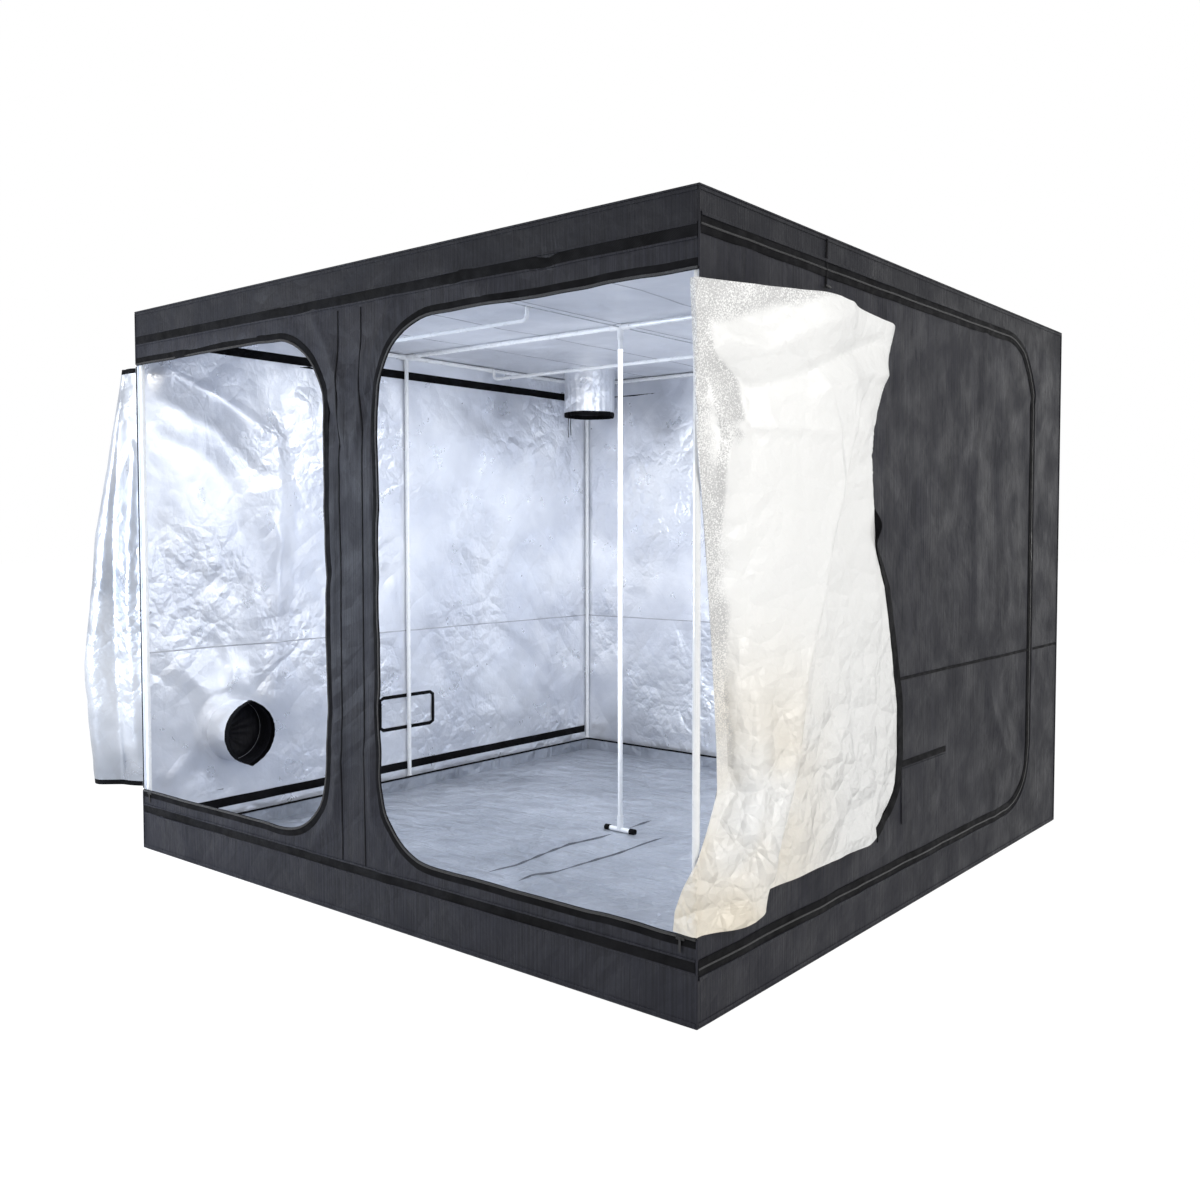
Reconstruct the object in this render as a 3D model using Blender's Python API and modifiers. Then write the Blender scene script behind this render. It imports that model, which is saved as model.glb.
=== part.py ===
"""Indoor grow tent: a white tube frame inside a sewn black cover lined with silver film.

Metres, +Z up. The front faces -Y and the origin lies under the middle of the floor. The cover has two
front doors, both swung open round their corners, a zipped side door, two vents with flaps and two duct
sleeves that hang inside. Every size below is a real one.
"""

import math

import bmesh
import bpy
import numpy as np
from mathutils import Matrix, Vector

# Overall size of the cover
TENT_WIDTH = 2.55
TENT_DEPTH = 2.55
TENT_HEIGHT = 2.00

# Thickness of each cloth
WALL_CLOTH = 0.0015
DOOR_CLOTH = 0.0025
SLEEVE_CLOTH = 0.0015
TRAY_CLOTH = 0.0010
FLAP_CLOTH = 0.0015

# Clearances
TOUCH_GAP = 0.0003
SOCKET_GAP = 0.0006
CUT_OVERRUN = 0.004

# Frame tubes and their plastic connectors
TUBE_RADIUS = 0.0095
TUBE_BORE = 0.0083
SOCKET_RADIUS = 0.0125
ARM_RADIUS = 0.0121
SOCKET_REACH = 0.050
SOCKET_STOP = 0.015
TEE_REACH = 0.040
TEE_WEB = 0.003
WIRE_RADIUS = 0.0020
WIRE_BOSS_RADIUS = 0.0055
WIRE_BOSS_REACH = 0.024
TUBE_SIDES = 12
WIRE_SIDES = 8

# Foot of the centre post
FOOT_LENGTH = 0.145
FOOT_RADIUS = 0.0095
FOOT_CAP_RADIUS = 0.0112
FOOT_CAP_LENGTH = 0.022
FOOT_SOCKET_RISE = 0.055

# Hanging bars, which clip on the left rail and on the roof wire
BAR_RADIUS = 0.0080
BAR_DROP = 0.045
BAR_BEND = 0.022
BAR_FRONT_Y = -0.51
BAR_REAR_Y = 0.54
CLIP_WALL = 0.0022
CLIP_BITE = 0.0018
CLIP_LENGTH = 0.024
CLIP_HALF_ANGLE = math.radians(115)

# Front wall: two door openings with a mullion between them
SILL_TOP = 0.2225
HEADER_DROP = 0.195
MULLION_RIGHT = 0.108
MULLION_LEFT = -0.152
OPENING_TOP_RADIUS = 0.25
OPENING_BOTTOM_RADIUS = 0.23
DOOR_TRIM = 0.0045
DOOR_CORNER_RADIUS = 0.24
DOOR_EDGE_TRIM = 0.008

# Right wall: the zipped side door
SIDE_DOOR_BOTTOM = 0.147
SIDE_DOOR_DROP = 0.090
SIDE_DOOR_END = 0.320
SIDE_DOOR_TOP_RADIUS = 0.27
SIDE_DOOR_BOTTOM_RADIUS = 0.22

# Vents in the middle of both side walls
VENT_HALF_WIDTH = 0.150
VENT_BOTTOM = 0.295
VENT_TOP = 0.428
VENT_CORNER_RADIUS = 0.006
VENT_FLAP_MARGIN = 0.020

# Duct sleeves
WALL_SLEEVE_RADIUS = 0.120
WALL_SLEEVE_LENGTH = 0.130
WALL_SLEEVE_INSET = 0.380
WALL_SLEEVE_Z = 0.395
WALL_SLEEVE_LOBES = 4
WALL_SLEEVE_PINCH_SHARE = 0.18
ROOF_SLEEVE_RADIUS = 0.125
ROOF_SLEEVE_LENGTH = 0.235
ROOF_SLEEVE_SIDE_INSET = 0.345
ROOF_SLEEVE_BACK_INSET = 0.375
ROOF_SLEEVE_LOBES = 5
SLEEVE_FLANGE = 0.022
SLEEVE_HEM = 0.026
SLEEVE_HEM_SWELL = 0.002
SLEEVE_RIPPLE = 0.004
SLEEVE_SIDES = 28

# Drawstring with two tails
STRING_RADIUS = 0.0020
STRING_TAIL = 0.110
STRING_TAIL_STEP = 0.006
STRING_SPREAD = 0.007
STRING_ANGLE = math.radians(-105)

# Floor tray with its upright edge
TRAY_HEIGHT = 0.060

# Zip sliders
SLIDER_LENGTH = 0.026
SLIDER_WIDTH = 0.010
SLIDER_THICKNESS = 0.004
SLIDER_BEVEL = 0.0012
TAB_LENGTH = 0.034
TAB_WIDTH = 0.007
TAB_THICKNESS = 0.0014
TAB_BITE = 0.0006
SIDE_SLIDER_Z = 1.147
SIDE_SLIDER_SPREAD = 0.033
FRONT_SLIDER_INSET = 0.048
FRONT_SLIDER_DROP = 0.0085

ARC_STEPS = 9

# How the right door hangs at seven heights, as shares of the door's height, and for each height
# the way along the side wall and out from it, as shares of the door's width, from hinge to free edge.
RIGHT_HEIGHT_SHARES = (0.0, 0.10, 0.27, 0.50, 0.70, 0.86, 1.0)
RIGHT_PATH_SHARES = (
    ((0, 0), (.030, .001), (.055, .022), (.097, .052), (.150, .066), (.167, .050), (.137, .025), (.385, .030),
     (.650, .034), (.890, .030)),
    ((0, 0), (.030, .001), (.062, .026), (.113, .061), (.165, .078), (.188, .060), (.152, .026), (.395, .031),
     (.655, .035), (.895, .030)),
    ((0, 0), (.033, .002), (.088, .036), (.165, .074), (.247, .091), (.274, .070), (.232, .030), (.440, .034),
     (.675, .035), (.885, .030)),
    ((0, 0), (.034, .003), (.122, .048), (.234, .087), (.338, .100), (.364, .078), (.300, .035), (.480, .035),
     (.690, .039), (.800, .030)),
    ((0, 0), (.034, .003), (.156, .061), (.295, .100), (.434, .109), (.464, .087), (.386, .043), (.520, .039),
     (.694, .037), (.640, .022)),
    ((0, 0), (.034, .003), (.173, .065), (.312, .113), (.434, .113), (.520, .087), (.590, .069), (.668, .061),
     (.694, .039), (.480, .024)),
    ((0, 0), (.034, .003), (.165, .067), (.278, .127), (.399, .117), (.506, .099), (.625, .087), (.716, .078),
     (.751, .056), (.610, .026)),
)
RIGHT_LIFT_SHARES = (0.045, 0.12, 0.32)
RIGHT_LEAN_DEG = 0.0

# The same for the left door, whose hinge line leans out from the left wall by the angle below. Its shares
# run back along that line and out from it.
LEFT_HEIGHT_SHARES = (0.0, 0.30, 0.75, 1.0)
LEFT_PATH_SHARES = (
    ((0, 0), (.015, -.010), (.024, -.003), (.028, .011), (.032, .043), (.040, .123), (.046, .180), (.095, .200),
     (.197, .145), (.283, .022), (.390, -.140), (.510, -.285)),
    ((0, 0), (.015, -.010), (.024, -.003), (.028, .011), (.032, .043), (.040, .127), (.045, .200), (.110, .226),
     (.213, .150), (.286, .019), (.390, -.143), (.500, -.278)),
    ((0, 0), (.015, -.010), (.024, -.003), (.028, .009), (.032, .033), (.040, .082), (.045, .122), (.090, .145),
     (.180, .100), (.275, -.015), (.400, -.165), (.540, -.320)),
    ((0, 0), (.015, -.010), (.024, -.004), (.028, .006), (.031, .022), (.038, .053), (.045, .075), (.080, .085),
     (.160, .050), (.280, -.065), (.420, -.215), (.580, -.365)),
)
LEFT_LIFT_SHARES = (0.0, 0.10, 0.30)
LEFT_LEAN_DEG = 35.0

DOOR_COLUMNS = 30
DOOR_ROWS = 18
DOOR_CROWDING_SHARE = 0.40

# Looks: colour, roughness and metallic value
WHITE_PAINT = ((0.86, 0.88, 0.90), 0.35, 0.0)
WHITE_PLASTIC = ((0.82, 0.84, 0.86), 0.45, 0.0)
WIRE_STEEL = ((0.45, 0.47, 0.50), 0.35, 1.0)
BLACK_CLOTH = ((0.035, 0.036, 0.045), 0.75, 0.0)
SILVER_LINING = ((0.80, 0.82, 0.86), 0.35, 0.6)
TRAY_CLOTH_LOOK = ((0.50, 0.53, 0.60), 0.45, 0.2)
BLACK_CORD = ((0.02, 0.02, 0.022), 0.8, 0.0)
BLACK_METAL = ((0.03, 0.03, 0.033), 0.4, 0.6)

# Places that follow from the sizes above
HALF_WIDTH = TENT_WIDTH / 2
HALF_DEPTH = TENT_DEPTH / 2
FRAME_INSET = WALL_CLOTH + TOUCH_GAP + SOCKET_RADIUS
FRAME_X = HALF_WIDTH - FRAME_INSET
FRAME_Y = HALF_DEPTH - FRAME_INSET
RAIL_LOW = FRAME_INSET
RAIL_HIGH = TENT_HEIGHT - FRAME_INSET
WALL_BOTTOM = WALL_CLOTH + TOUCH_GAP
WALL_TOP = TENT_HEIGHT - WALL_CLOTH - TOUCH_GAP
SIDE_HALF = HALF_DEPTH - WALL_CLOTH - TOUCH_GAP
HEADER_BOTTOM = TENT_HEIGHT - HEADER_DROP
SIDE_DOOR_TOP = TENT_HEIGHT - SIDE_DOOR_DROP
SIDE_DOOR_FAR = HALF_DEPTH - SIDE_DOOR_END
WALL_SLEEVE_Y = WALL_SLEEVE_INSET - HALF_DEPTH
ROOF_SLEEVE_X = ROOF_SLEEVE_SIDE_INSET - HALF_WIDTH
ROOF_SLEEVE_Y = HALF_DEPTH - ROOF_SLEEVE_BACK_INSET
BORE_RADIUS = TUBE_RADIUS + SOCKET_GAP
TRAY_FLOOR = WALL_BOTTOM + TRAY_CLOTH
HINGE_OFFSET = TOUCH_GAP + DOOR_CLOTH / 2
X, Y, Z = Vector((1, 0, 0)), Vector((0, 1, 0)), Vector((0, 0, 1))


def clear_scene():
    """Removes what the file opened with."""
    for thing in list(bpy.data.objects):
        bpy.data.objects.remove(thing, do_unlink=True)


def new_collection(name):
    made = bpy.data.collections.new(name)
    bpy.context.scene.collection.children.link(made)
    return made


def new_material(name, colour, roughness, metallic):
    made = bpy.data.materials.new(name)
    made.use_nodes = True
    shader = made.node_tree.nodes["Principled BSDF"]
    shader.inputs["Base Color"].default_value = (*colour, 1)
    shader.inputs["Roughness"].default_value = roughness
    shader.inputs["Metallic"].default_value = metallic
    return made


def add_part(name, data, look, place=None):
    """One named object in the tent's collection, with a material of its own in the given look."""
    part = bpy.data.objects.new(name, data)
    part.matrix_world = place if place is not None else Matrix()
    PARTS.objects.link(part)
    part.data.materials.clear()
    part.data.materials.append(new_material(name, *look))
    return part


def along(direction):
    """The rotation that turns +Z to a direction."""
    return direction.to_track_quat("Z", "Y").to_matrix().to_4x4()


def rounded(corners):
    """An outline from (x, y, radius) corners, with an arc at each corner whose radius isn't zero."""
    points = []
    count = len(corners)
    for i, (x, y, radius) in enumerate(corners):
        corner = Vector((x, y))
        if radius == 0:
            points.append(corner)
            continue
        before = (Vector(corners[i - 1][:2]) - corner).normalized()
        after = (Vector(corners[(i + 1) % count][:2]) - corner).normalized()
        half = before.angle(after) / 2
        centre = corner + (before + after).normalized() * (radius / math.sin(half))
        first = corner + before * (radius / math.tan(half)) - centre
        turn = first.angle_signed(corner + after * (radius / math.tan(half)) - centre)
        for step in range(ARC_STEPS + 1):
            spun = first.copy()
            spun.rotate(Matrix.Rotation(-turn * step / ARC_STEPS, 2))
            points.append(centre + spun)
    return points


def circle(x, y, radius, sides):
    angles = [2 * math.pi * i / sides for i in range(sides)]
    return [Vector((x + radius * math.cos(a), y + radius * math.sin(a))) for a in angles]


def flat_outline(name, outlines, thickness):
    """A flat sheet of an even thickness, from an outline and the outlines of its holes."""
    curve = bpy.data.curves.new(name, "CURVE")
    curve.dimensions = "2D"
    curve.fill_mode = "BOTH"
    curve.extrude = thickness / 2
    for outline in outlines:
        spline = curve.splines.new("POLY")
        spline.points.add(len(outline) - 1)
        for point, (x, y) in zip(spline.points, outline):
            point.co = (x, y, 0, 1)
        spline.use_cyclic_u = True
    return curve


def wall_place(across, origin):
    """The frame of an upright wall: its own x runs along the wall and its own y runs up."""
    normal = across.cross(Z)
    turn = Matrix((across, Z, normal)).transposed().to_4x4()
    return Matrix.Translation(origin) @ turn


def mesh_object(mesh):
    """A loose helper object, used while pieces are fused and cut."""
    helper = bpy.data.objects.new("helper", mesh)
    CUTTERS.objects.link(helper)
    return helper


def rod(start, end, radius, sides=TUBE_SIDES):
    """A closed cylinder between two points."""
    start, end = Vector(start), Vector(end)
    direction = end - start
    cylinder = bmesh.new()
    bmesh.ops.create_cone(cylinder, cap_ends=True, segments=sides, radius1=radius, radius2=radius,
                          depth=direction.length,
                          matrix=Matrix.Translation((start + end) / 2) @ along(direction))
    mesh = bpy.data.meshes.new("rod")
    cylinder.to_mesh(mesh)
    cylinder.free()
    return mesh_object(mesh)


def block(size, centre=(0, 0, 0), bevel=0.0):
    """A box, with its edges bevelled if a bevel is given."""
    cube = bmesh.new()
    bmesh.ops.create_cube(cube, size=1)
    bmesh.ops.scale(cube, vec=size, verts=cube.verts)
    if bevel:
        bmesh.ops.bevel(cube, geom=cube.edges[:], offset=bevel, segments=1, affect="EDGES")
    bmesh.ops.translate(cube, vec=centre, verts=cube.verts)
    mesh = bpy.data.meshes.new("block")
    cube.to_mesh(mesh)
    cube.free()
    return mesh_object(mesh)


def settled(helper):
    """The mesh of an object with its modifiers and curve shape worked out, in world space."""
    bpy.context.view_layer.update()
    graph = bpy.context.evaluated_depsgraph_get()
    mesh = bpy.data.meshes.new_from_object(helper.evaluated_get(graph))
    mesh.transform(helper.matrix_world)
    welded = bmesh.new()
    welded.from_mesh(mesh)
    bmesh.ops.remove_doubles(welded, verts=welded.verts, dist=TOUCH_GAP / 10)
    welded.to_mesh(mesh)
    welded.free()
    return mesh


def fused(name, solids, cutters=()):
    """One closed mesh: the solids joined and the cutters taken away."""
    base = solids[0]
    for helper, operation in [(s, "UNION") for s in solids[1:]] + [(c, "DIFFERENCE") for c in cutters]:
        modifier = base.modifiers.new("fit", "BOOLEAN")
        modifier.operation = operation
        modifier.solver = "EXACT"
        modifier.object = helper
    mesh = settled(base)
    mesh.name = name
    for helper in [*solids, *cutters]:
        bpy.data.objects.remove(helper, do_unlink=True)
    mesh.shade_smooth()
    mesh.set_sharp_from_angle(angle=math.radians(35))
    return mesh


def tube(name, start, end, material):
    """A hollow tube between two points, turned from the outline of its wall."""
    start, end = Vector(start), Vector(end)
    length = (end - start).length
    profile = bpy.data.meshes.new(name)
    corners = [(TUBE_RADIUS, 0, length), (TUBE_RADIUS, 0, 0), (TUBE_BORE, 0, 0), (TUBE_BORE, 0, length)]
    profile.from_pydata(corners, [(0, 1), (1, 2), (2, 3), (3, 0)], [])
    part = add_part(name, profile, material, Matrix.Translation(start) @ along(end - start))
    screw = part.modifiers.new("turned", "SCREW")
    screw.steps = screw.render_steps = TUBE_SIDES
    screw.use_merge_vertices = True
    screw.merge_threshold = TOUCH_GAP / 10
    screw.use_smooth_shade = True
    return part


def socket(direction, reach, stop, radius=ARM_RADIUS, bore=BORE_RADIUS):
    """The solid and the bore of one blind socket that points along a direction."""
    direction = Vector(direction)
    return (rod((0, 0, 0), direction * reach, radius),
            rod(direction * stop, direction * (reach + CUT_OVERRUN), bore))


def connector(name, directions, sleeve=None, wire_boss=None, wire_hole=None):
    """A plastic connector with blind sockets and, on a tee, a sleeve that a rail runs through."""
    solids, cutters = [], []
    if sleeve is None:
        solids.append(block((2 * SOCKET_RADIUS,) * 3, bevel=SOCKET_RADIUS / 4))
        stop = SOCKET_STOP
    else:
        ends = sleeve * TEE_REACH
        solids.append(rod(-ends, ends, SOCKET_RADIUS))
        stop = TUBE_RADIUS + TEE_WEB
    for direction in directions:
        outside, inside = socket(direction, SOCKET_REACH, stop)
        solids.append(outside)
        cutters.append(inside)
    if wire_boss is not None:
        outside, inside = socket(wire_boss, WIRE_BOSS_REACH, stop, WIRE_BOSS_RADIUS, WIRE_RADIUS + SOCKET_GAP)
        solids.append(outside)
        cutters.append(inside)
    if sleeve is not None:
        ends = sleeve * (TEE_REACH + CUT_OVERRUN)
        cutters.append(rod(-ends, ends, BORE_RADIUS))
    if wire_hole is not None:
        ends = wire_hole * (SOCKET_RADIUS + CUT_OVERRUN)
        cutters.append(rod(-ends, ends, WIRE_RADIUS + SOCKET_GAP))
    return fused(name, solids, cutters)


def build_frame(white, plastic, steel):
    """Posts, rails, roof bars and the connectors that hold them."""
    corner = connector("corner_connector", [X, Y, Z])
    for side, x, y, turn in (("front_left", -1, -1, 0), ("front_right", 1, -1, 90),
                             ("back_right", 1, 1, 180), ("back_left", -1, 1, 270)):
        place = Vector((x * FRAME_X, y * FRAME_Y, 0))
        low = Matrix.Translation(place + Z * RAIL_LOW) @ Matrix.Rotation(math.radians(turn), 4, "Z")
        add_part(f"bottom_corner_{side}", corner.copy(), plastic, low)
        flipped = Matrix.Rotation(math.radians(turn), 4, "Z") @ Matrix.Rotation(math.radians(90), 4, "Z")
        flipped = flipped @ Matrix.Rotation(math.pi, 4, "X")
        add_part(f"top_corner_{side}", corner.copy(), plastic, Matrix.Translation(place + Z * RAIL_HIGH) @ flipped)
        rise = Z * (SOCKET_STOP + TOUCH_GAP)
        tube(f"corner_post_{side}", place + Z * RAIL_LOW + rise, place + Z * RAIL_HIGH - rise, white)

    low_tee = connector("low_tee", [Z], sleeve=X)
    wire_tee = connector("wire_tee", [-Z], sleeve=X, wire_boss=Y)
    bar_tee = connector("bar_tee", [-Z, Y], sleeve=X)
    back_off = SOCKET_STOP + TOUCH_GAP
    tee_rise = Z * (TUBE_RADIUS + TEE_WEB + TOUCH_GAP)
    for side, turn, reach, run, top_tee in (("front", 0, FRAME_Y, FRAME_X, wire_tee),
                                            ("right", 90, FRAME_X, FRAME_Y, bar_tee),
                                            ("back", 180, FRAME_Y, FRAME_X, wire_tee),
                                            ("left", 270, FRAME_X, FRAME_Y, bar_tee)):
        spin = Matrix.Rotation(math.radians(turn), 4, "Z")
        middle = spin @ Vector((0, -reach, 0))
        ahead = spin.to_3x3() @ X
        for level, height, tee in (("bottom", RAIL_LOW, low_tee), ("top", RAIL_HIGH, top_tee)):
            centre = middle + Z * height
            add_part(f"{level}_tee_{side}", tee.copy(), plastic, Matrix.Translation(centre) @ spin)
            tube(f"{level}_rail_{side}", centre - ahead * (run - back_off), centre + ahead * (run - back_off), white)
        tube(f"mid_post_{side}", middle + Z * RAIL_LOW + tee_rise, middle + Z * RAIL_HIGH - tee_rise, white)

    hub = connector("centre_hub", [X, -X, -Z], wire_hole=Y)
    add_part("centre_hub", hub, plastic, Matrix.Translation(Z * RAIL_HIGH))
    outer = FRAME_X - TUBE_RADIUS - TEE_WEB - TOUCH_GAP
    tube("roof_bar_left", (-back_off, 0, RAIL_HIGH), (-outer, 0, RAIL_HIGH), white)
    tube("roof_bar_right", (back_off, 0, RAIL_HIGH), (outer, 0, RAIL_HIGH), white)

    wire_end = FRAME_Y - TUBE_RADIUS - TEE_WEB - TOUCH_GAP
    wire = rod((0, -wire_end, RAIL_HIGH), (0, wire_end, RAIL_HIGH), WIRE_RADIUS, WIRE_SIDES)
    add_part("roof_wire", fused("roof_wire", [wire]), steel)


def build_centre_post(white, plastic):
    """The post in the middle and its short cross foot with a cap on each end."""
    axis = TRAY_FLOOR + TOUCH_GAP + FOOT_CAP_RADIUS
    half = FOOT_LENGTH / 2
    inner = half - FOOT_CAP_LENGTH
    solids = [rod((-half, 0, axis), (half, 0, axis), FOOT_RADIUS),
              rod((-half, 0, axis), (-inner, 0, axis), FOOT_CAP_RADIUS),
              rod((half, 0, axis), (inner, 0, axis), FOOT_CAP_RADIUS),
              rod((0, 0, axis), (0, 0, axis + FOOT_SOCKET_RISE), SOCKET_RADIUS)]
    stop = axis + FOOT_RADIUS + TEE_WEB
    bore = rod((0, 0, stop), (0, 0, axis + FOOT_SOCKET_RISE + CUT_OVERRUN), BORE_RADIUS)
    add_part("centre_foot", fused("centre_foot", solids, [bore]), plastic)
    tube("centre_post", (0, 0, stop + TOUCH_GAP), (0, 0, RAIL_HIGH - SOCKET_STOP - TOUCH_GAP), white)


def clip(x, z, inner, open_towards):
    """A C clip round a rod that runs along Y, with its mouth towards -X or +X."""
    outline = []
    for radius, ends in ((inner + CLIP_WALL, (-1, 1)), (inner, (1, -1))):
        for step in range(2 * ARC_STEPS + 1):
            angle = CLIP_HALF_ANGLE * (ends[0] + (ends[1] - ends[0]) * step / (2 * ARC_STEPS))
            outline.append((-open_towards * radius * math.cos(angle), radius * math.sin(angle)))
    if open_towards > 0:
        outline.reverse()
    curve = flat_outline("clip", [outline], CLIP_LENGTH)
    helper = bpy.data.objects.new("clip", curve)
    helper.matrix_world = wall_place(X, (x, 0, z))
    CUTTERS.objects.link(helper)
    mesh = settled(helper)
    bpy.data.objects.remove(helper, do_unlink=True)
    return mesh_object(mesh)


def build_hanging_bars(white):
    """Two bars under the roof, from the left rail to the roof wire, with both ends turned up."""
    grip = CLIP_WALL + BAR_RADIUS - CLIP_BITE
    outer = -FRAME_X + TUBE_RADIUS + SOCKET_GAP + grip
    inner = -(WIRE_RADIUS + SOCKET_GAP + grip)
    low = RAIL_HIGH - BAR_DROP
    path = [(outer, RAIL_HIGH)]
    for step in range(ARC_STEPS + 1):
        angle = math.pi * (1 + step / (2 * ARC_STEPS))
        path.append((outer + BAR_BEND * (1 + math.cos(angle)), low + BAR_BEND * (1 + math.sin(angle))))
    for step in range(ARC_STEPS + 1):
        angle = math.pi * (3 + step / ARC_STEPS) / 2
        path.append((inner - BAR_BEND * (1 - math.cos(angle)), low + BAR_BEND * (1 + math.sin(angle))))
    path.append((inner, RAIL_HIGH))
    curve = bpy.data.curves.new("bar", "CURVE")
    curve.dimensions = "3D"
    curve.bevel_depth = BAR_RADIUS
    curve.bevel_resolution = 3
    curve.use_fill_caps = True
    spline = curve.splines.new("POLY")
    spline.points.add(len(path) - 1)
    for point, (x, z) in zip(spline.points, path):
        point.co = (x, 0, z, 1)
    helper = bpy.data.objects.new("bar", curve)
    CUTTERS.objects.link(helper)
    body = mesh_object(settled(helper))
    bpy.data.objects.remove(helper, do_unlink=True)
    rail_clip = clip(-FRAME_X, RAIL_HIGH, TUBE_RADIUS + SOCKET_GAP, -1)
    wire_clip = clip(0, RAIL_HIGH, WIRE_RADIUS + SOCKET_GAP, 1)
    mesh = fused("hanging_bar", [body, rail_clip, wire_clip])
    add_part("hanging_bar_front", mesh, white, Matrix.Translation(Y * BAR_FRONT_Y))
    add_part("hanging_bar_rear", mesh.copy(), white, Matrix.Translation(Y * BAR_REAR_Y))


def vent_hole(grow=0.0):
    """The outline of a vent in a side wall, or of what covers it when it is grown."""
    low, high = VENT_BOTTOM - grow, VENT_TOP + grow
    half = VENT_HALF_WIDTH + grow
    radius = VENT_CORNER_RADIUS + grow / 2
    return rounded([(-half, low, radius), (half, low, radius), (half, high, radius), (-half, high, radius)])


def rectangle(half, low, high):
    return [Vector(p) for p in ((-half, low), (half, low), (half, high), (-half, high))]


def build_cover(black):
    """Floor, roof and walls. The front and back run the whole width, the sides fit between them."""
    half = HALF_WIDTH
    top, low = OPENING_TOP_RADIUS, OPENING_BOTTOM_RADIUS
    front = rounded([(-half, WALL_BOTTOM, 0), (half, WALL_BOTTOM, 0), (half, SILL_TOP, 0),
                     (MULLION_RIGHT, SILL_TOP, low), (MULLION_RIGHT, HEADER_BOTTOM, top),
                     (half, HEADER_BOTTOM, 0), (half, WALL_TOP, 0), (-half, WALL_TOP, 0),
                     (-half, HEADER_BOTTOM, 0), (MULLION_LEFT, HEADER_BOTTOM, top),
                     (MULLION_LEFT, SILL_TOP, low), (-half, SILL_TOP, 0)])
    inset = WALL_CLOTH / 2
    add_part("front_panel", flat_outline("front_panel", [front], WALL_CLOTH), black,
             wall_place(X, -Y * (HALF_DEPTH - inset)))
    add_part("back_panel", flat_outline("back_panel", [rectangle(half, WALL_BOTTOM, WALL_TOP)], WALL_CLOTH),
             black, wall_place(X, Y * (HALF_DEPTH - inset)))

    duct = circle(WALL_SLEEVE_Y, WALL_SLEEVE_Z, WALL_SLEEVE_RADIUS - SLEEVE_CLOTH, SLEEVE_SIDES)
    left = [rectangle(SIDE_HALF, WALL_BOTTOM, WALL_TOP), vent_hole(), duct]
    add_part("left_panel", flat_outline("left_panel", left, WALL_CLOTH), black,
             wall_place(Y, -X * (HALF_WIDTH - inset)))

    def side_door(grow):
        return [(-SIDE_HALF, SIDE_DOOR_BOTTOM - grow, 0),
                (SIDE_DOOR_FAR + grow, SIDE_DOOR_BOTTOM - grow, SIDE_DOOR_BOTTOM_RADIUS + grow),
                (SIDE_DOOR_FAR + grow, SIDE_DOOR_TOP + grow, SIDE_DOOR_TOP_RADIUS + grow),
                (-SIDE_HALF, SIDE_DOOR_TOP + grow, 0)]

    right_wall = wall_place(Y, X * (HALF_WIDTH - inset))
    door = flat_outline("side_door", [rounded(side_door(0.0)), vent_hole()], WALL_CLOTH)
    add_part("side_door", door, black, right_wall)
    surround = [(SIDE_HALF, WALL_BOTTOM, 0), (SIDE_HALF, WALL_TOP, 0), (-SIDE_HALF, WALL_TOP, 0),
                *reversed(side_door(TOUCH_GAP)), (-SIDE_HALF, WALL_BOTTOM, 0)]
    add_part("right_surround", flat_outline("right_surround", [rounded(surround)], WALL_CLOTH), black, right_wall)

    plan = rectangle(half, -HALF_DEPTH, HALF_DEPTH)
    add_part("floor_skin", flat_outline("floor_skin", [plan], WALL_CLOTH), black, Matrix.Translation(Z * inset))
    hole = circle(ROOF_SLEEVE_X, ROOF_SLEEVE_Y, ROOF_SLEEVE_RADIUS - SLEEVE_CLOTH, SLEEVE_SIDES)
    add_part("roof_panel", flat_outline("roof_panel", [plan, hole], WALL_CLOTH), black,
             Matrix.Translation(Z * (TENT_HEIGHT - inset)))


def build_tray(grey):
    """The loose floor tray inside the bottom rails, with its edge standing up."""
    half_x = FRAME_X - SOCKET_RADIUS - TOUCH_GAP
    half_y = FRAME_Y - SOCKET_RADIUS - TOUCH_GAP
    tray = bmesh.new()
    bmesh.ops.create_cube(tray, size=1)
    bmesh.ops.scale(tray, vec=(2 * half_x, 2 * half_y, TRAY_HEIGHT - WALL_BOTTOM), verts=tray.verts)
    bmesh.ops.translate(tray, vec=Z * (TRAY_HEIGHT + WALL_BOTTOM) / 2, verts=tray.verts)
    lid = [face for face in tray.faces if face.normal.z > 0.5]
    bmesh.ops.delete(tray, geom=lid, context="FACES")
    mesh = bpy.data.meshes.new("floor_tray")
    tray.to_mesh(mesh)
    tray.free()
    part = add_part("floor_tray", mesh, grey)
    wall = part.modifiers.new("wall", "SOLIDIFY")
    wall.thickness = TRAY_CLOTH
    wall.offset = -1
    wall.use_even_offset = True


def build_vent_flaps(black):
    """A flap over each vent, on the outside, turning at its top edge."""
    outline = vent_hole(VENT_FLAP_MARGIN)
    top = VENT_TOP + VENT_FLAP_MARGIN
    hung = [Vector((x, y - top)) for x, y in outline]
    out = HALF_WIDTH + TOUCH_GAP + FLAP_CLOTH / 2
    for name, side in (("right_vent_flap", 1), ("left_vent_flap", -1)):
        add_part(name, flat_outline(name, [hung], FLAP_CLOTH), black, wall_place(Y, (side * out, 0, top)))


def sheet_mesh(name, points, closed):
    """A mesh from a grid of points, rows by columns, closed round the columns if asked."""
    rows, columns = points.shape[:2]
    index = np.arange(rows * columns).reshape(rows, columns)
    if closed:
        index = np.concatenate([index, index[:, :1]], axis=1)
    faces = np.stack([index[:-1, :-1], index[:-1, 1:], index[1:, 1:], index[1:, :-1]], axis=-1)
    mesh = bpy.data.meshes.new(name)
    mesh.from_pydata(points.reshape(-1, 3).tolist(), [], faces.reshape(-1, 4).tolist())
    mesh.shade_smooth()
    return mesh


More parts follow.
